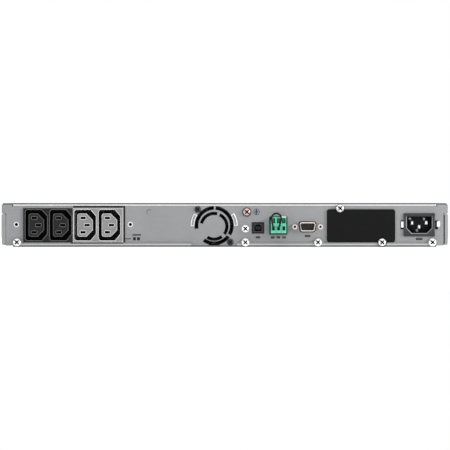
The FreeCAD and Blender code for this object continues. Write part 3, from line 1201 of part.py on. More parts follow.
def internal_leads():
    """Leads from the inlet and the outlets to the board, the fan's lead and the display's ribbon."""
    thick = 2.6
    top = BOARD_Z + 1.6 + thick / 2 + 0.2
    start_y = REAR_Y - 33.3
    leads = []
    for i, (px, pz) in enumerate(sorted(inlet_pin_places())):
        end_x = INLET_LEAD_ENDS[i]
        points = [(px, REAR_Y - 31.1, pz), (px, 292.0, pz), (px, 264.0, -4.0), (end_x, 232.0, -8.0),
                  (end_x, 206.0, top), (end_x, 188.0, top)]
        leads.append(cord(points, thick, f"inlet lead {i}"))
    for i, (x, z, run_z, turn_x, turn_z) in enumerate(OUTLET_LEADS):
        fall = run_z - z
        points = [(x, start_y, z), (x - 0.5, 301.0, z + 0.2 * fall), (x - 9.0, 300.0, z + 0.6 * fall),
                  (118.0, 300.2, run_z), (90.0, 299.5, run_z), (56.0, 300.3, run_z), (24.0, 299.6, run_z),
                  (turn_x + 6, 297.5, run_z - 1.5), (turn_x, 270.0, turn_z), (turn_x - 3, 234.0, -7.0),
                  (turn_x - 4, 206.0, top), (turn_x - 4, 188.0, top)]
        leads.append(cord(points, thick, f"outlet lead {i}"))
    fan = [(FAN[0] - 16.5, FAN_FRONT_Y - 0.1, -15.0), (FAN[0] - 17.5, 309.0, -15.0),
           (-22.0, 303.0, -12.0), (-32.0, 300.0, COMMS_TOP + 0.95), (-44.0, 296.0, COMMS_TOP + 0.95)]
    leads.append(cord(fan, 1.6, "fan lead"))
    ribbon = [(DISPLAY_BOARD_Y + 1.6, -10.0), (26.6, -10.0), (26.6, BOARD_Z + 1.6)]
    leads.append(folded_sheet(ribbon, 0.5, "X", -148.0, -132.0, bend=2.0))
    return group(leads)


# ---- export -------------------------------------------------------------------------------------
def parts():
    seam = OUTLET_SEAM_X
    centres = outlet_centres()
    grille_y = (FRONT_Y + 0.4, FRONT_Y + PLASTIC)
    made = {
        "base_plate": base_plate(), "rear_panel": rear_panel(),
        "side_wall_left": side_wall(-1), "side_wall_right": side_wall(1),
        "top_cover": top_cover(), "cover_screws": cover_screws(),
        "front_frame": front_frame(), "battery_bay": battery_bay(),
        "rack_ear_left": rack_ear(-1), "rack_ear_right": rack_ear(1),
        "rack_runner_left": rack_runner(-1), "rack_runner_right": rack_runner(1),
        "side_screws": side_screws(), "rear_screws": rear_screws(),
        "front_bezel": front_bezel(),
        "bezel_grille": honeycomb(BEZEL_GRILLE[:2], BEZEL_GRILLE[2], grille_y),
        "display_window": display_window(), "display_module": display_module(),
        "light_pipes": light_pipes(), "power_button": power_button(),
        "drawer_front": drawer_front(),
        "drawer_grille": honeycomb(DRAWER_GRILLE[:2], DRAWER_GRILLE[2], grille_y),
        "thumbscrew_left": thumbscrew(THUMBSCREW_X[0]), "thumbscrew_right": thumbscrew(THUMBSCREW_X[1]),
        "battery_tray": battery_tray(), "battery_cells": battery_cells(),
        "battery_leads": battery_leads(),
        "drawer_plug": drawer_plug(), "dock_connector": dock_connector(),
        "fan_frame": fan_frame(), "fan_rotor": fan_rotor(), "fan_screws": fan_screws(),
        "outlet_block_black": outlet_block(seam, centres[:2]),
        "outlet_block_grey": outlet_block(seam - OUTLET_BLOCK_W, centres[2:]),
        "outlet_contacts": outlet_contacts(),
        "inlet_housing": inlet_housing(), "inlet_metalwork": inlet_metalwork(),
        "serial_shell": serial_shell(), "usb_shell": usb_shell(), "port_inserts": port_inserts(),
        "serial_jacks": serial_jacks(), "ground_screw": ground_screw(),
        "terminal_header": terminal_header(), "terminal_plug": terminal_plug(),
        "terminal_clamps": terminal_clamps(), "jumper_wire": jumper_wire(),
        "slot_cover": slot_cover(), "card_cage": card_cage(), "comms_board": comms_board(),
        "power_board": power_board(), "heat_sinks": heat_sinks(),
        "transformer_core": transformer_core(), "transformer_winding": transformer_winding(),
        "capacitors": capacitors(), "relays": relays(), "internal_leads": internal_leads(),
    }
    for name in KEYS:
        made[f"key_{name}"] = key(name)
    return made


os.makedirs("parts", exist_ok=True)
for node, shape in parts().items():
    if not shape.isValid():
        print(f"{node} is not valid")
    shape.exportStep(f"parts/{node}.step")
print(f"{len(os.listdir('parts'))} files in parts")
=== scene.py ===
"""The looks of a rack-mount uninterruptible power supply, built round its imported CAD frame. Metres."""

import json
import math

import bmesh
import bpy
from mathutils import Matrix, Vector


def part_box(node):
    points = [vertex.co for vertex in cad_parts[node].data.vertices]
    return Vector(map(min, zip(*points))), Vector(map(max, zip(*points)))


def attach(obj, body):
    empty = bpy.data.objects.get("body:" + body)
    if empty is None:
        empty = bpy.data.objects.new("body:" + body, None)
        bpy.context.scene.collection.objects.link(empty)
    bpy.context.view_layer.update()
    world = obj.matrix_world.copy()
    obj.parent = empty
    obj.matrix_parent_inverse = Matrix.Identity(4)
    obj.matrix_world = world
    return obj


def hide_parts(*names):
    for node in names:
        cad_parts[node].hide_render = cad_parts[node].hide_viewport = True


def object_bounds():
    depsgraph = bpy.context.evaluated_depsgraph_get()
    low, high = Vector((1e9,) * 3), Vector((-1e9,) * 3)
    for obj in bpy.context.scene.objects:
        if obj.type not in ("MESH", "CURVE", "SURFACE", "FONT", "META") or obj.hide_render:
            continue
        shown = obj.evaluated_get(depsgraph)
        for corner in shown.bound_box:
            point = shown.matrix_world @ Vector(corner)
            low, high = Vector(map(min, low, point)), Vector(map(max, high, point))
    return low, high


MM = 0.001
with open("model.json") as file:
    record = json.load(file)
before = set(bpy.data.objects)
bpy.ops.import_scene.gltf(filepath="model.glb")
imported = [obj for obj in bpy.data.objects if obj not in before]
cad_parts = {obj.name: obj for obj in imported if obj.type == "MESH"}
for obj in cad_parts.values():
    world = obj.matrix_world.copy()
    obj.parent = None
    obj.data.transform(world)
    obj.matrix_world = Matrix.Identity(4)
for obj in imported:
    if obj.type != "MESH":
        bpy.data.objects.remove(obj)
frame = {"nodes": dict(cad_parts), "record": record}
nodes = frame["nodes"]
cad_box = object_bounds()

REAR_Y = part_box("rear_panel")[1].y - 0.7 * MM       # the panel's flat face, behind its raised beads
INK = 0.04 * MM                                     # how far printing stands off its surface
INLET_DEPTH = 14.9 * MM                             # of the painted highlight marks on the mains inlet's floor


# ---- materials ----------------------------------------------------------------------------------
PANEL_GREY = (0.203, 0.206, 0.211)
CROSS_SHADE = (0.88, 1.0)                           # how open a screw head is, in its cross and round it, for the painted shade there


class Surface:
    """A Principled material whose colour, roughness and bump come from textures in object space."""

    def __init__(self, name, roughness=0.5, metallic=0.0, specular=0.5):
        self.material = bpy.data.materials.new(name)
        self.material.use_nodes = True
        self.tree = self.material.node_tree
        self.shader = self.tree.nodes["Principled BSDF"]
        self.shader.inputs["Roughness"].default_value = roughness
        self.shader.inputs["Metallic"].default_value = metallic
        self.shader.inputs["Specular IOR Level"].default_value = specular
        self.place = self.add("ShaderNodeTexCoord").outputs["Object"]

    def add(self, kind, links=None, **settings):
        node = self.tree.nodes.new(kind)
        for key, value in settings.items():
            setattr(node, key, value)
        for key, value in (links or {}).items():
            if isinstance(value, bpy.types.NodeSocket):
                self.tree.links.new(value, node.inputs[key])
            else:
                node.inputs[key].default_value = value
        return node

    def stretched(self, scale):
        return self.add("ShaderNodeMapping", {"Vector": self.place, "Scale": scale}).outputs["Vector"]

    def noise(self, scale, detail=3.0, stretch=None):
        place = self.stretched(stretch) if stretch else self.place
        links = {"Vector": place, "Scale": scale, "Detail": detail}
        return self.add("ShaderNodeTexNoise", links).outputs["Fac"]

    def bands(self, scale, direction, distortion=0.0):
        links = {"Vector": self.place, "Scale": scale, "Distortion": distortion}
        return self.add("ShaderNodeTexWave", links, bands_direction=direction).outputs["Fac"]

    def span(self, value, low, high, source=(0.3, 0.7)):
        """Carries the source range of a value over to the range from low to high."""
        links = {"Value": value, "From Min": source[0], "From Max": source[1]}
        links |= {"To Min": low, "To Max": high}
        return self.add("ShaderNodeMapRange", links).outputs["Result"]

    def mix(self, factor, low, high):
        node = self.add("ShaderNodeMix", data_type="RGBA")
        for index, value in ((0, factor), (6, low), (7, high)):
            if isinstance(value, bpy.types.NodeSocket):
                self.tree.links.new(value, node.inputs[index])
            else:
                node.inputs[index].default_value = value if index == 0 else (*value[:3], 1.0)
        return node.outputs[2]

    def height(self):
        """How high a point is above the object's middle."""
        return self.add("ShaderNodeSeparateXYZ", {"Vector": self.place}).outputs["Z"]

    def distance_from(self, x, z):
        """How far a point is from the line along Y through (x, z)."""
        flat = self.add("ShaderNodeVectorMath", {0: self.place, 1: (1, 0, 1)}, operation="MULTIPLY")
        return self.add("ShaderNodeVectorMath", {0: flat.outputs[0], 1: (x, 0, z)},
                        operation="DISTANCE").outputs["Value"]

    def facing_rear(self):
        """How squarely a face looks along Y, from 0 to 1."""
        normal = self.add("ShaderNodeNewGeometry").outputs["True Normal"]
        y = self.add("ShaderNodeSeparateXYZ", {"Vector": normal}).outputs["Y"]
        return self.add("ShaderNodeMath", {0: y}, operation="ABSOLUTE").outputs[0]

    def occlusion(self, reach, inside=False):
        """How open the space within reach of a point is, outside the piece or inside its walls."""
        links = {"Distance": reach}
        node = self.add("ShaderNodeAmbientOcclusion", links, inside=inside, only_local=True, samples=6)
        return node.outputs["AO"]

    def within(self, value, middle, half):
        """1 where a value lies within half of the middle, and 0 elsewhere."""
        return self.add("ShaderNodeMath", {0: value, 1: middle, 2: half}, operation="COMPARE").outputs[0]

    def product(self, first, *others):
        """1 where all of the factors are 1."""
        for other in others:
            first = self.add("ShaderNodeMath", {0: first, 1: other}, operation="MULTIPLY").outputs[0]
        return first

    def colour(self, socket):
        self.tree.links.new(socket, self.shader.inputs["Base Color"])

    def cover(self, factor, colour):
        """Mixes a colour over what is there already."""
        self.colour(self.mix(factor, self.shader.inputs["Base Color"].links[0].from_socket, colour))

    def paint_hollow_shade(self, reach, floor, source=(0.25, 0.85)):
        """Painted shade: multiplies the colour down to floor where the piece's own shape closes over the
        surface.
        """
        colour = self.shader.inputs["Base Color"].links[0].from_socket
        openness = self.span(self.occlusion(reach), floor, 1.0, source)
        grey = self.add("ShaderNodeCombineXYZ", {"X": openness, "Y": openness, "Z": openness}).outputs[0]
        mixed = self.add("ShaderNodeVectorMath", {0: colour, 1: grey}, operation="MULTIPLY")
        self.colour(mixed.outputs[0])

    def paint_edge_highlight_and_shade(self, reach, colour, source=(0.62, 0.90)):
        """Mixes in another colour within reach of the piece's outer edges: a painted highlight where it
        is lighter, painted shade where it is darker.
        """
        depth = self.occlusion(reach, inside=True)
        self.cover(self.span(depth, 1.0, 0.0, source), colour)

    def rough(self, socket):
        self.tree.links.new(socket, self.shader.inputs["Roughness"])

    def bump(self, height, strength, distance):
        node = self.add("ShaderNodeBump", {"Height": height, "Strength": strength, "Distance": distance})
        self.tree.links.new(node.outputs["Normal"], self.shader.inputs["Normal"])

    def setting(self, name, value):
        self.shader.inputs[name].default_value = value


def slanted(s, low=0.66, high=0.92):
    """1 on bevels and rounded rims, whose slant lies between the two levels."""
    return s.within(s.facing_rear(), (low + high) / 2, (high - low) / 2)


def shade(colour, factor):
    return tuple(min(1.0, c * factor) for c in colour)


def grained(name, colour, roughness, specular=0.5, grain=2400.0, depth=0.03, mottle=0.12):
    """A plain moulded or coated surface: faint mottling, and a fine grain in its gloss and bump."""
    s = Surface(name, roughness, specular=specular)
    patches = s.span(s.noise(90.0), 0.0, 1.0)
    s.colour(s.mix(patches, shade(colour, 1 - mottle), shade(colour, 1 + mottle)))
    fine = s.noise(grain, 4.0)
    s.rough(s.span(fine, roughness - 0.06, roughness + 0.08))
    s.bump(fine, 0.25, depth * MM)
    return s


def plated(name, colour, roughness, stretch=(1, 1, 1), mottle=0.05, metallic=0.9):
    """Bare or plated metal: cloudy colour, a rolled grain along one direction, and small scuffs."""
    s = Surface(name, roughness, metallic)
    patches = s.span(s.noise(38.0, 4.0), 0.0, 1.0)
    cloud = s.mix(patches, shade(colour, 1 - mottle), shade(colour, 1 + mottle))
    streak = s.noise(420.0, 3.0, stretch)
    s.colour(s.mix(s.span(streak, 0.0, 0.35), cloud, shade(colour, 1 + 2 * mottle)))
    s.rough(s.span(s.noise(700.0, 5.0, stretch), roughness - 0.07, roughness + 0.09))
    s.bump(streak, 0.12, 0.02 * MM)
    return s


def zinc_sheet(name="zinc_sheet", colour=PANEL_GREY, roughness=0.42, metallic=0.4):
    return plated(name, colour, roughness, stretch=(0.15, 1.0, 1.0), mottle=0.04, metallic=metallic)


def cover_sheet():
    """The same sheet, painted near black as painted shade on its sheared edge and rounded bend, where it
    ends at the front and rear.
    """
    s = zinc_sheet("cover_sheet", (0.26, 0.262, 0.266))
    # painted shade: near black on the faces that look along Y
    s.cover(s.span(s.facing_rear(), 0.0, 1.0, (0.2, 0.4)), (0.008, 0.008, 0.008))
    return s


def rear_sheet():
    """The rear panel: painted highlights along bends, beads and pressed rims and in rings round the
    retainer holes; painted shade on edge-on faces, in the fan guard's slots and in hollows.
    """
    s = zinc_sheet("rear_sheet")
    low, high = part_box("fan_rotor")
    from_fan = s.distance_from((low.x + high.x) / 2, (low.z + high.z) / 2)
    in_guard = s.within(from_fan, 0.0, 19.6 * MM)
    # painted shade on faces that stand edge-on: slot walls, bead walls and the top of the bend under the
    # cover
    s.cover(s.span(s.facing_rear(), 1.0, 0.0, (0.5, 0.6)), (0.03, 0.03, 0.03))
    # painted highlight on bends, bead edges and pressed rims
    s.cover(slanted(s), (0.80, 0.80, 0.80))
    # painted shade on the slanted rims inside the fan guard, so its slots read black
    s.cover(s.product(slanted(s), in_guard), (0.01, 0.01, 0.01))
    for mount in frame["record"]["mounts"]:
        if mount["name"].startswith("retainer_hole"):
            x, _, z = mount["pos_m"]
            # painted highlight: a pale ring round each retainer hole
            rim = s.within(s.distance_from(x, z), 2.1 * MM, 0.5 * MM)
            s.cover(rim, (0.55, 0.55, 0.55))
    # painted shade in the panel's own hollows
    s.paint_hollow_shade(2.0 * MM, 0.15, (0.15, 0.5))
    return s


def base_sheet():
    """The base plate: a painted highlight line, and a painted shadow line below it, run along its lip
    where it bends.
    """
    s = zinc_sheet("base_sheet")
    on_lip = s.span(s.facing_rear(), 0.0, 1.0, (0.8, 0.9))
    # painted highlight line, then painted shadow line below it
    for height, half, grey in ((-18.95, 0.5, 0.36), (-19.9, 0.45, 0.10)):
        line = s.within(s.height(), height * MM, half * MM)
        s.cover(s.product(on_lip, line), (grey, grey, grey))
    return s


def runner_steel():
    return plated("runner_steel", (0.27, 0.27, 0.275), 0.38, stretch=(1.0, 0.12, 1.0))


def ear_paint():
    return grained("ear_paint", (0.030, 0.030, 0.032), 0.55, grain=1500.0, depth=0.08)


def screw_steel():
    s = plated("screw_steel", (0.62, 0.62, 0.60), 0.30, mottle=0.3)
    # painted shade in the cross recess and round the head
    s.paint_hollow_shade(2.4 * MM, 0.002, CROSS_SHADE)
    return s


def black_screws():
    s = plated("black_screws", (0.024, 0.024, 0.024), 0.40, mottle=0.5, metallic=0.6)
    # painted shade in the cross recess and round the head
    s.paint_hollow_shade(2.4 * MM, 0.002, CROSS_SHADE)
    return s


def slot_cover_paint():
    black = (0.0036, 0.0036, 0.0036)
    s = grained("slot_cover_paint", black, 0.65, specular=0.08, grain=1900.0, depth=0.06)
    # painted shade: the cover's edges darkened nearly to black
    s.paint_edge_highlight_and_shade(1.1 * MM, (0.0004, 0.0004, 0.0004))
    return s


def front_plastic():
    return grained("front_plastic", (0.018, 0.018, 0.020), 0.48, grain=1700.0, depth=0.05)


def grille_plastic():
    return grained("grille_plastic", (0.012, 0.012, 0.013), 0.55)


def window():
    s = Surface("window", 0.06)
    s.colour(s.mix(s.noise(60.0), (0.010, 0.013, 0.017), (0.016, 0.020, 0.026)))
    s.rough(s.span(s.noise(300.0), 0.04, 0.10))
    s.setting("Transmission Weight", 0.72)
    s.setting("IOR", 1.49)
    return s


def circuit_board(name="circuit_board"):
    """Green solder mask over paler tracks."""
    s = Surface(name, 0.32)
    tracks = s.add("ShaderNodeTexBrick", {"Vector": s.place, "Scale": 130.0, "Mortar Size": 0.035})
    s.colour(s.mix(tracks.outputs["Fac"], (0.010, 0.085, 0.035), (0.035, 0.170, 0.070)))
    s.bump(tracks.outputs["Fac"], 0.3, 0.03 * MM)
    s.rough(s.span(s.noise(500.0), 0.26, 0.40))
    return s


def display():
    return circuit_board("display")


def light_pipe():
    s = Surface("light_pipe", 0.2)
    s.colour(s.mix(s.noise(200.0), (0.62, 0.78, 0.66), (0.72, 0.86, 0.74)))
    s.setting("Subsurface Weight", 0.3)
    s.setting("Subsurface Radius", (0.002, 0.002, 0.002))
    s.rough(s.span(s.noise(900.0), 0.15, 0.28))
    return s


def button_plastic():
    return grained("button_plastic", (0.060, 0.060, 0.064), 0.42, grain=2100.0)


def thumbscrew_metal():
    return plated("thumbscrew_metal", (0.50, 0.50, 0.49), 0.30, stretch=(1.0, 0.2, 1.0))


def battery_case():
    return grained("battery_case", (0.028, 0.028, 0.031), 0.5, grain=900.0, depth=0.12, mottle=0.2)


def lead_insulation():
    return grained("lead_insulation", (0.20, 0.016, 0.014), 0.42, grain=1600.0)


def connector_plastic():
    return grained("connector_plastic", (0.075, 0.075, 0.080), 0.45)


def fan_plastic():
    return grained("fan_plastic", (0.012, 0.012, 0.012), 0.5, specular=0.3)


def outlet_black():
    s = grained("outlet_black", (0.010, 0.010, 0.010), 0.55, specular=0.12)
    # painted shade: the wells darkened nearly to black
    s.paint_hollow_shade(6.0 * MM, 0.01, (0.6, 0.93))
    # painted highlight along the moulded edges
    s.paint_edge_highlight_and_shade(0.9 * MM, (0.12, 0.12, 0.12))
    low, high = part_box("outlet_block_black")
    # painted shade: dark lines along the block's top and bottom rims
    for rim in (low.z, high.z):
        s.cover(s.within(s.height(), rim, 0.7 * MM), (0.003, 0.003, 0.003))
    return s


def outlet_grey():
    s = grained("outlet_grey", (0.165, 0.165, 0.165), 0.5, specular=0.2, mottle=0.05)
    # painted shade: the wells darkened nearly to black
    s.paint_hollow_shade(6.0 * MM, 0.002, (0.6, 0.93))
    # painted highlight along the moulded edges
    s.paint_edge_highlight_and_shade(0.9 * MM, (0.55, 0.55, 0.55))
    return s


def contact_brass():
    """Brass darkened nearly to black and dull: painted shade, as it lies deep in the outlets."""
    return plated("contact_brass", (0.030, 0.024, 0.014), 0.5, mottle=0.2)


def inlet_black():
    s = grained("inlet_black", (0.026, 0.026, 0.027), 0.5, specular=0.15)
    # painted shade in the cavity
    s.paint_hollow_shade(8.0 * MM, 0.01, (0.6, 0.93))
    # painted highlight on the cavity's chamfered mouth
    s.cover(s.product(slanted(s), s.within(s.height(), 0.0, 8.4 * MM)), (0.20, 0.20, 0.20))
    # painted shade along the outer edges
    s.paint_edge_highlight_and_shade(0.7 * MM, (0.008, 0.008, 0.008), (0.5, 0.7))
    return s


def port_liner():
    # painted shade: a dark plated colour, as the shell sits in shadow in its cut-out
    return plated("port_liner", (0.09, 0.088, 0.088), 0.35, mottle=0.1)


def tinned_pins():
    return plated("tinned_pins", (0.86, 0.86, 0.86), 0.30, mottle=0.04)


def nickel():
    s = plated("nickel", (0.62, 0.56, 0.52), 0.24, mottle=0.08)
    # painted shade in the bores and hollows
    s.paint_hollow_shade(2.5 * MM, 0.01, (0.55, 0.98))
    return s


def port_plastic():
    return grained("port_plastic", (0.012, 0.010, 0.010), 0.5, specular=0.2)


def earth_copper():
    s = plated("earth_copper", (0.40, 0.29, 0.26), 0.30, mottle=0.2)
    # painted shade in the cross recess and round the head
    s.paint_hollow_shade(2.4 * MM, 0.002, CROSS_SHADE)
    return s


def terminal_green():
    s = grained("terminal_green", (0.075, 0.38, 0.25), 0.42, specular=0.3, mottle=0.08)
    # painted shade in the wire entries and windows
    s.paint_hollow_shade(3.0 * MM, 0.06, (0.3, 0.75))
    return s


def header_green():
    """The fixed header round the plug: a darker green, painted shadow for where it lies in the plug's
    shadow.
    """
    s = grained("header_green", (0.012, 0.060, 0.040), 0.5, specular=0.2)
    # painted shade in the header's hollows
    s.paint_hollow_shade(3.0 * MM, 0.06, (0.3, 0.75))
    return s


def jumper_insulation():
    return grained("jumper_insulation", (0.004, 0.005, 0.005), 0.6, specular=0.15, grain=3000.0)


def heat_sink():
    return plated("heat_sink", (0.62, 0.63, 0.64), 0.35, stretch=(1.0, 0.08, 1.0))


def ferrite():
    return grained("ferrite", (0.035, 0.035, 0.036), 0.6, grain=1200.0, depth=0.1)


def winding_tape():
    """Layers of amber tape, with the turns beneath showing as fine ridges."""
    s = Surface("winding_tape", 0.35)
    turns = s.bands(260.0, "X")
    s.colour(s.mix(turns, (0.42, 0.24, 0.02), (0.62, 0.38, 0.04)))
    s.bump(turns, 0.4, 0.1 * MM)
    s.rough(s.span(s.noise(800.0), 0.28, 0.44))
    return s


def component_black():
    return grained("component_black", (0.014, 0.014, 0.018), 0.30, mottle=0.2)


def ink(name, colour):
    """Screen-printed ink, slightly uneven where it lies on the grain of the surface."""
    s = Surface(name, 0.6, specular=0.2)
    s.colour(s.mix(s.span(s.noise(1500.0, 4.0), 0.0, 1.0), shade(colour, 0.8), shade(colour, 1.2)))
    s.rough(s.span(s.noise(2500.0), 0.5, 0.7))
    return s.material


MAKERS = [
    zinc_sheet, cover_sheet, rear_sheet, base_sheet, runner_steel, ear_paint, screw_steel, black_screws,
    slot_cover_paint, front_plastic, grille_plastic, window, display, light_pipe, button_plastic,
    thumbscrew_metal, battery_case, lead_insulation, connector_plastic, fan_plastic, outlet_black,
    outlet_grey, contact_brass, inlet_black, tinned_pins, port_liner, nickel, port_plastic, earth_copper,
    terminal_green, header_green, jumper_insulation, circuit_board, heat_sink, ferrite, winding_tape,
    component_black,
]
# Nodes whose look differs from that of their material slot.
OVER_SLOT = {
    "rear_panel": "rear_sheet",
    "base_plate": "base_sheet",
    "inlet_metalwork": "tinned_pins",
    # port_liner and header_green are darkened as painted shade
    "usb_shell": "port_liner",
    "terminal_header": "header_green",
}


def dress_nodes():
    made = {maker.__name__: maker().material for maker in MAKERS}
    for row in frame["record"]["subparts"]:
        mesh = nodes[row["node"]].data
        mesh.materials.clear()
        mesh.materials.append(made[OVER_SLOT.get(row["node"], row["material_slot"])])
        for polygon in mesh.polygons:
            polygon.material_index = 0
    return made


# ---- printing -----------------------------------------------------------------------------------
def middle(name):
    low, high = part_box(name)
    return (low + high) / 2


def bar(low_u, low_v, high_u, high_v):
    return [[(low_u, low_v), (high_u, low_v), (high_u, high_v), (low_u, high_v)]]


def stroke(points, width):
    """A mitred line of the given width through (u, v) points, as one quad for each run."""
    runs = []
    for i in range(len(points) - 1):
        sides = []
        for j in (i, i + 1):
            here = Vector(points[j])
            before = (here - Vector(points[j - 1])).normalized() if j > 0 else None
            after = (Vector(points[j + 1]) - here).normalized() if j + 1 < len(points) else None
            before, after = before or after, after or before
            normal = Vector((-before.y, before.x)) + Vector((-after.y, after.x))
            normal /= normal.length_squared / 2
            sides.append((here + normal * width / 2, here - normal * width / 2))
        runs.append([tuple(sides[0][0]), tuple(sides[0][1]), tuple(sides[1][1]), tuple(sides[1][0])])
    return runs


def arc(centre, radius, start, end, width, steps=24):
    """A curved line; angles in degrees, anticlockwise from +u."""
    points = []
    for i in range(steps + 1):
        angle = math.radians(start + (end - start) * i / steps)
        points.append((centre[0] + radius * math.cos(angle), centre[1] + radius * math.sin(angle)))
    return stroke(points, width)


def label(u, v, widths, height=2.2 * MM, gap=0.2 * MM):
    """A row of plain dashes that stands for a printed label, centred on (u, v)."""
    at = u - (sum(widths) + gap * (len(widths) - 1)) / 2
    dashes = []
    for width in widths:
        dashes += bar(at, v - height / 2, at + width, v + height / 2)
        at += width + gap
    return dashes


def printed(name, faces, body, y, material):
    """Flat faces, drawn in (x, z), on the plane y of a body, facing away from the object's middle."""
    mesh = bpy.data.meshes.new(name)
    bm = bmesh.new()
    for face in faces:
        bm.faces.new([bm.verts.new((u, y, v)) for u, v in face])
    bmesh.ops.remove_doubles(bm, verts=bm.verts, dist=1e-7)
    bmesh.ops.recalc_face_normals(bm, faces=bm.faces)
    outward = 1 if y > 0.1 else -1
    flipped = [f for f in bm.faces if f.normal.y * outward < 0]
    bmesh.ops.reverse_faces(bm, faces=flipped)
    bm.to_mesh(mesh)
    bm.free()
    mesh.materials.append(material)
    piece = bpy.data.objects.new(name, mesh)
    bpy.context.scene.collection.objects.link(piece)
    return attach(piece, body)


def group_outline():
    """The printed line round the grey outlets, and its leader to two small squares."""
    low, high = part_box("outlet_block_grey")
    seam = high.x
    side = low.x - 1.5 * MM
    top = high.z + 1.5 * MM
    foot = -16.9 * MM
    leader = -13.3 * MM
    faces = stroke([(seam, top), (side, top), (side, foot)], 1.6 * MM)
    faces += bar(side - 6.6 * MM, leader - 0.4 * MM, side - 0.5 * MM, leader + 0.4 * MM)
    for x in (side - 9.9 * MM, side - 13.8 * MM):
        faces += bar(x - 1.4 * MM, leader - 1.5 * MM, x + 1.4 * MM, leader + 1.5 * MM)
    faces += label(side - 12.0 * MM, leader + 3.8 * MM, [1.0 * MM] * 7, height=1.5 * MM)
    return faces


def group_foot():
    """The outline's lower run, printed along the top of the base plate's lip."""
    low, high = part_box("outlet_block_grey")
    top = low.z - 0.25 * MM
    return bar(low.x - 0.6 * MM, top - 0.8 * MM, high.x + 2.0 * MM, top)


def earth_mark():
    """The sign for an earth terminal: a stem and three bars in a ring, beside the earth screw."""
    screw = middle("ground_screw")
    x = screw.x - 9.4 * MM
    z = screw.z + 0.2 * MM
    faces = arc((x, z), 2.9 * MM, 0, 360, 0.5 * MM)
    faces += bar(x - 0.6 * MM, z, x + 0.6 * MM, z + 2.4 * MM)
    for drop, half in ((0.0, 1.9), (1.1, 1.2), (2.1, 0.5)):
        faces += bar(x - half * MM, z - (drop + 0.45) * MM, x + half * MM, z - (drop - 0.45) * MM)
    return faces


def rear_labels():
    """Plain dashes under the ports and the inlet, and one fine corner stroke on the blank panel."""
    faces = label(middle("usb_shell").x, -11.9 * MM, [0.9 * MM] * 4)
    faces += label(middle("serial_shell").x, -10.6 * MM, [0.9 * MM] * 5)
    plug_x = middle("terminal_plug").x
    for k in (-1, 0, 1):
        faces += label(plug_x + 5.6 * k * MM, -12.0 * MM, [1.0 * MM] * 3)
    inlet_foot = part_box("inlet_housing")[0].z
    faces += label(middle("inlet_housing").x, inlet_foot - 2.6 * MM, [1.1 * MM] * 5)
    faces += stroke([(76.2 * MM, 10.8 * MM), (76.2 * MM, 15.0 * MM), (72.0 * MM, 15.0 * MM)], 0.4 * MM)
    return faces


def pin_highlights():
    """Painted highlights: pale tabs on the inlet's floor, one beside each pin, for the light the pins
    catch.
    """
    inlet = middle("inlet_housing")
    faces = []
    for u, v in ((8.0, 5.8), (-5.8, 5.8), (1.1, -5.5)):
        x = inlet.x + u * MM
        z = inlet.z + v * MM
        faces += bar(x - 1.0 * MM, z - 1.3 * MM, x + 1.0 * MM, z + 1.3 * MM)
    return faces


def key_marks():
    """Arrows, a cross and a tick on the keys, and the power sign on the round button."""
    width = 0.5 * MM
    marks = {}
    for name, sense in (("key_up", 1), ("key_down", -1)):
        c = middle(name)
        tip = c.z + sense * 0.8 * MM
        foot = c.z - sense * 0.8 * MM
        marks[name] = stroke([(c.x - 1.7 * MM, foot), (c.x, tip), (c.x + 1.7 * MM, foot)], width)
    c = middle("key_escape")
    arm = 1.3 * MM
    marks["key_escape"] = []
    for rise in (arm, -arm):
        marks["key_escape"] += stroke([(c.x - arm, c.z - rise), (c.x + arm, c.z + rise)], width)
    c = middle("key_enter")
    tick = [(c.x - 1.7 * MM, c.z), (c.x - 0.5 * MM, c.z - 1.3 * MM), (c.x + 1.8 * MM, c.z + 1.4 * MM)]
    marks["key_enter"] = stroke(tick, width)
    c = middle("power_button")
    marks["power_button"] = arc((c.x, c.z), 2.0 * MM, 125, 415, width)
    marks["power_button"] += bar(c.x - width / 2, c.z + 0.4 * MM, c.x + width / 2, c.z + 2.8 * MM)
    return marks


def display_picture():
    """What the display shows: a battery outline with its charge bars, and a row of load bars."""
    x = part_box("display_window")[0].x + 9 * MM
    half = 5 * MM
    end = x + 20 * MM
    faces = stroke([(x, -half), (end, -half), (end, half), (x, half), (x, -half)], 0.7 * MM)
    faces += bar(end + 0.6 * MM, -2 * MM, end + 2 * MM, 2 * MM)
    for k in range(4):
        faces += bar(x + (1.6 + 4.5 * k) * MM, -3.6 * MM, x + (5.0 + 4.5 * k) * MM, 3.6 * MM)
    for k in range(6):
        height = (2.0 + 1.3 * k) * MM
        faces += bar(x + (28 + 3.2 * k) * MM, -half, x + (30.2 + 3.2 * k) * MM, height - half)
    return faces


def print_marks():
    black = ink("black_ink", (0.004, 0.004, 0.004))
    white = ink("white_ink", (0.62, 0.62, 0.60))
    grey_ink = ink("grey_ink", (0.008, 0.008, 0.009))
    blue_ink = ink("blue_ink", (0.015, 0.030, 0.060))
    pin_highlight_ink = ink("pin_highlight_ink", (0.85, 0.85, 0.85))
    glow = ink("display_ink", (0.30, 0.62, 0.72))
    rear = REAR_Y + INK
    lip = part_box("base_plate")[1].y + INK
    printed("outlet_group_line", group_outline(), "chassis", rear, black)
    printed("outlet_group_foot", group_foot(), "chassis", lip, black)
    printed("earth_sign", earth_mark(), "chassis", rear, blue_ink)
    # painted highlights beside the inlet's pins
    printed("pin_highlights", pin_highlights(), "chassis", REAR_Y - INLET_DEPTH, pin_highlight_ink)
    printed("port_labels", rear_labels(), "chassis", rear, grey_ink)
    for name, faces in key_marks().items():
        printed(f"{name}_sign", faces, name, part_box(name)[0].y - INK, white)
    behind_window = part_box("display_window")[1].y + 0.1 * MM
    printed("display_picture", display_picture(), "chassis", behind_window, glow)


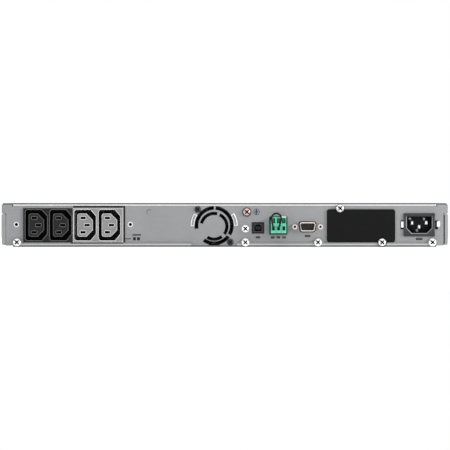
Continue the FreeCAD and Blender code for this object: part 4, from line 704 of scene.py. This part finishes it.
# ---- jumper wire --------------------------------------------------------------------------------
JUMPER_DIAMETER = 1.8 * MM
JUMPER_ROUTE = [
    (-47.5, 347.0, -3.1), (-47.4, 351.4, -3.2), (-47.2, 355.6, -2.5), (-46.6, 358.6, 0.6),
    (-45.8, 359.3, 4.9), (-45.7, 358.7, 8.8), (-48.4, 358.3, 11.5), (-52.2, 358.6, 11.5),
    (-54.9, 359.0, 8.8), (-54.8, 359.2, 4.8), (-53.7, 358.6, 0.6), (-52.9, 355.6, -2.6),
    (-52.7, 351.4, -3.2), (-52.6, 347.0, -3.1),
]                                   # millimetres, from the first terminal to the second


def jumper_wire(material):
    curve = bpy.data.curves.new("jumper", "CURVE")
    curve.dimensions = "3D"
    spline = curve.splines.new("NURBS")
    spline.points.add(len(JUMPER_ROUTE) - 1)
    for point, (x, y, z) in zip(spline.points, JUMPER_ROUTE):
        point.co = (x * MM, y * MM, z * MM, 1.0)
    spline.order_u = 3
    spline.use_endpoint_u = True
    spline.resolution_u = 12
    curve.bevel_depth = JUMPER_DIAMETER / 2
    curve.bevel_resolution = 5
    curve.materials.append(material)
    wire = bpy.data.objects.new("jumper", curve)
    bpy.context.scene.collection.objects.link(wire)
    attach(wire, "terminal_plug")
    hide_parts("jumper_wire")


# ---- camera, light and floor --------------------------------------------------------------------
VIEW_DISTANCE = 2.55                # from the rear panel
VIEW_MARGIN = 1.0078                # the view's width over the body's


def make_camera():
    """Level with the rear panel's middle, looking straight at it."""
    low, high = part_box("top_cover")
    width = (high.x - low.x) * VIEW_MARGIN
    data = bpy.data.cameras.new("camera")
    data.sensor_width = 36.0
    data.lens = data.sensor_width * VIEW_DISTANCE / width
    data.clip_end = 50.0
    camera = bpy.data.objects.new("camera", data)
    camera.location = (-0.25 * MM, REAR_Y + VIEW_DISTANCE, 0.2 * MM)
    camera.rotation_euler = (math.radians(90), 0, math.radians(180))
    bpy.context.scene.collection.objects.link(camera)
    bpy.context.scene.camera = camera


def make_floor():
    below = (0, 0.2, cad_box[0].z - 0.2 * MM)
    bpy.ops.mesh.primitive_grid_add(x_subdivisions=8, y_subdivisions=8, size=3.6, location=below)
    floor = bpy.context.object
    floor.name = "floor"
    s = Surface("floor_paper", 0.9, specular=0.1)
    s.colour(s.mix(s.noise(3.0), (0.93, 0.93, 0.93), (0.96, 0.96, 0.96)))
    s.setting("Emission Color", (1.0, 1.0, 1.0, 1.0))
    s.setting("Emission Strength", 0.45)
    floor.data.materials.append(s.material)


def softbox(name, location, target, size, radiance):
    """A square area light, given the brightness of its face."""
    data = bpy.data.lights.new(name, "AREA")
    data.size, data.energy = size, radiance * math.pi * size ** 2
    lamp = bpy.data.objects.new(name, data)
    lamp.location = location
    lamp.rotation_euler = (Vector(target) - Vector(location)).to_track_quat("-Z", "Y").to_euler()
    bpy.context.scene.collection.objects.link(lamp)


def make_world():
    """White where the camera looks past the object, and a dim grey room for all other light."""
    world = bpy.data.worlds.new("studio")
    world.use_nodes = True
    tree = world.node_tree
    room = tree.nodes["Background"]
    room.inputs["Color"].default_value = (1, 1, 1, 1)
    room.inputs["Strength"].default_value = 0.55
    backdrop = tree.nodes.new("ShaderNodeBackground")
    backdrop.inputs["Color"].default_value = (1, 1, 1, 1)
    path = tree.nodes.new("ShaderNodeLightPath")
    both = tree.nodes.new("ShaderNodeMixShader")
    tree.links.new(path.outputs["Is Camera Ray"], both.inputs[0])
    tree.links.new(room.outputs[0], both.inputs[1])
    tree.links.new(backdrop.outputs[0], both.inputs[2])
    tree.links.new(both.outputs[0], tree.nodes["World Output"].inputs["Surface"])
    bpy.context.scene.world = world


def light_scene():
    """A light tent with one smaller key lamp at the right, as the camera sees it."""
    make_world()
    softbox("overhead", (0, 0.9, 1.5), (0, 0.7, 0), 2.6, 1.5)
    softbox("key", (-1.41, 1.05, 0.40), (0, 0.34, 0), 0.36, 62.0)
    softbox("left_side", (1.9, 0.75, 0.25), (0, 0.34, 0), 1.0, 3.6)
    softbox("front_fill", (0.6, -2.2, 1.0), (0, 0, 0), 1.4, 1.6)
    bpy.context.scene.view_settings.view_transform = "Standard"


made = dress_nodes()
make_camera()
jumper_wire(made["jumper_insulation"])
print_marks()
make_floor()
light_scene()
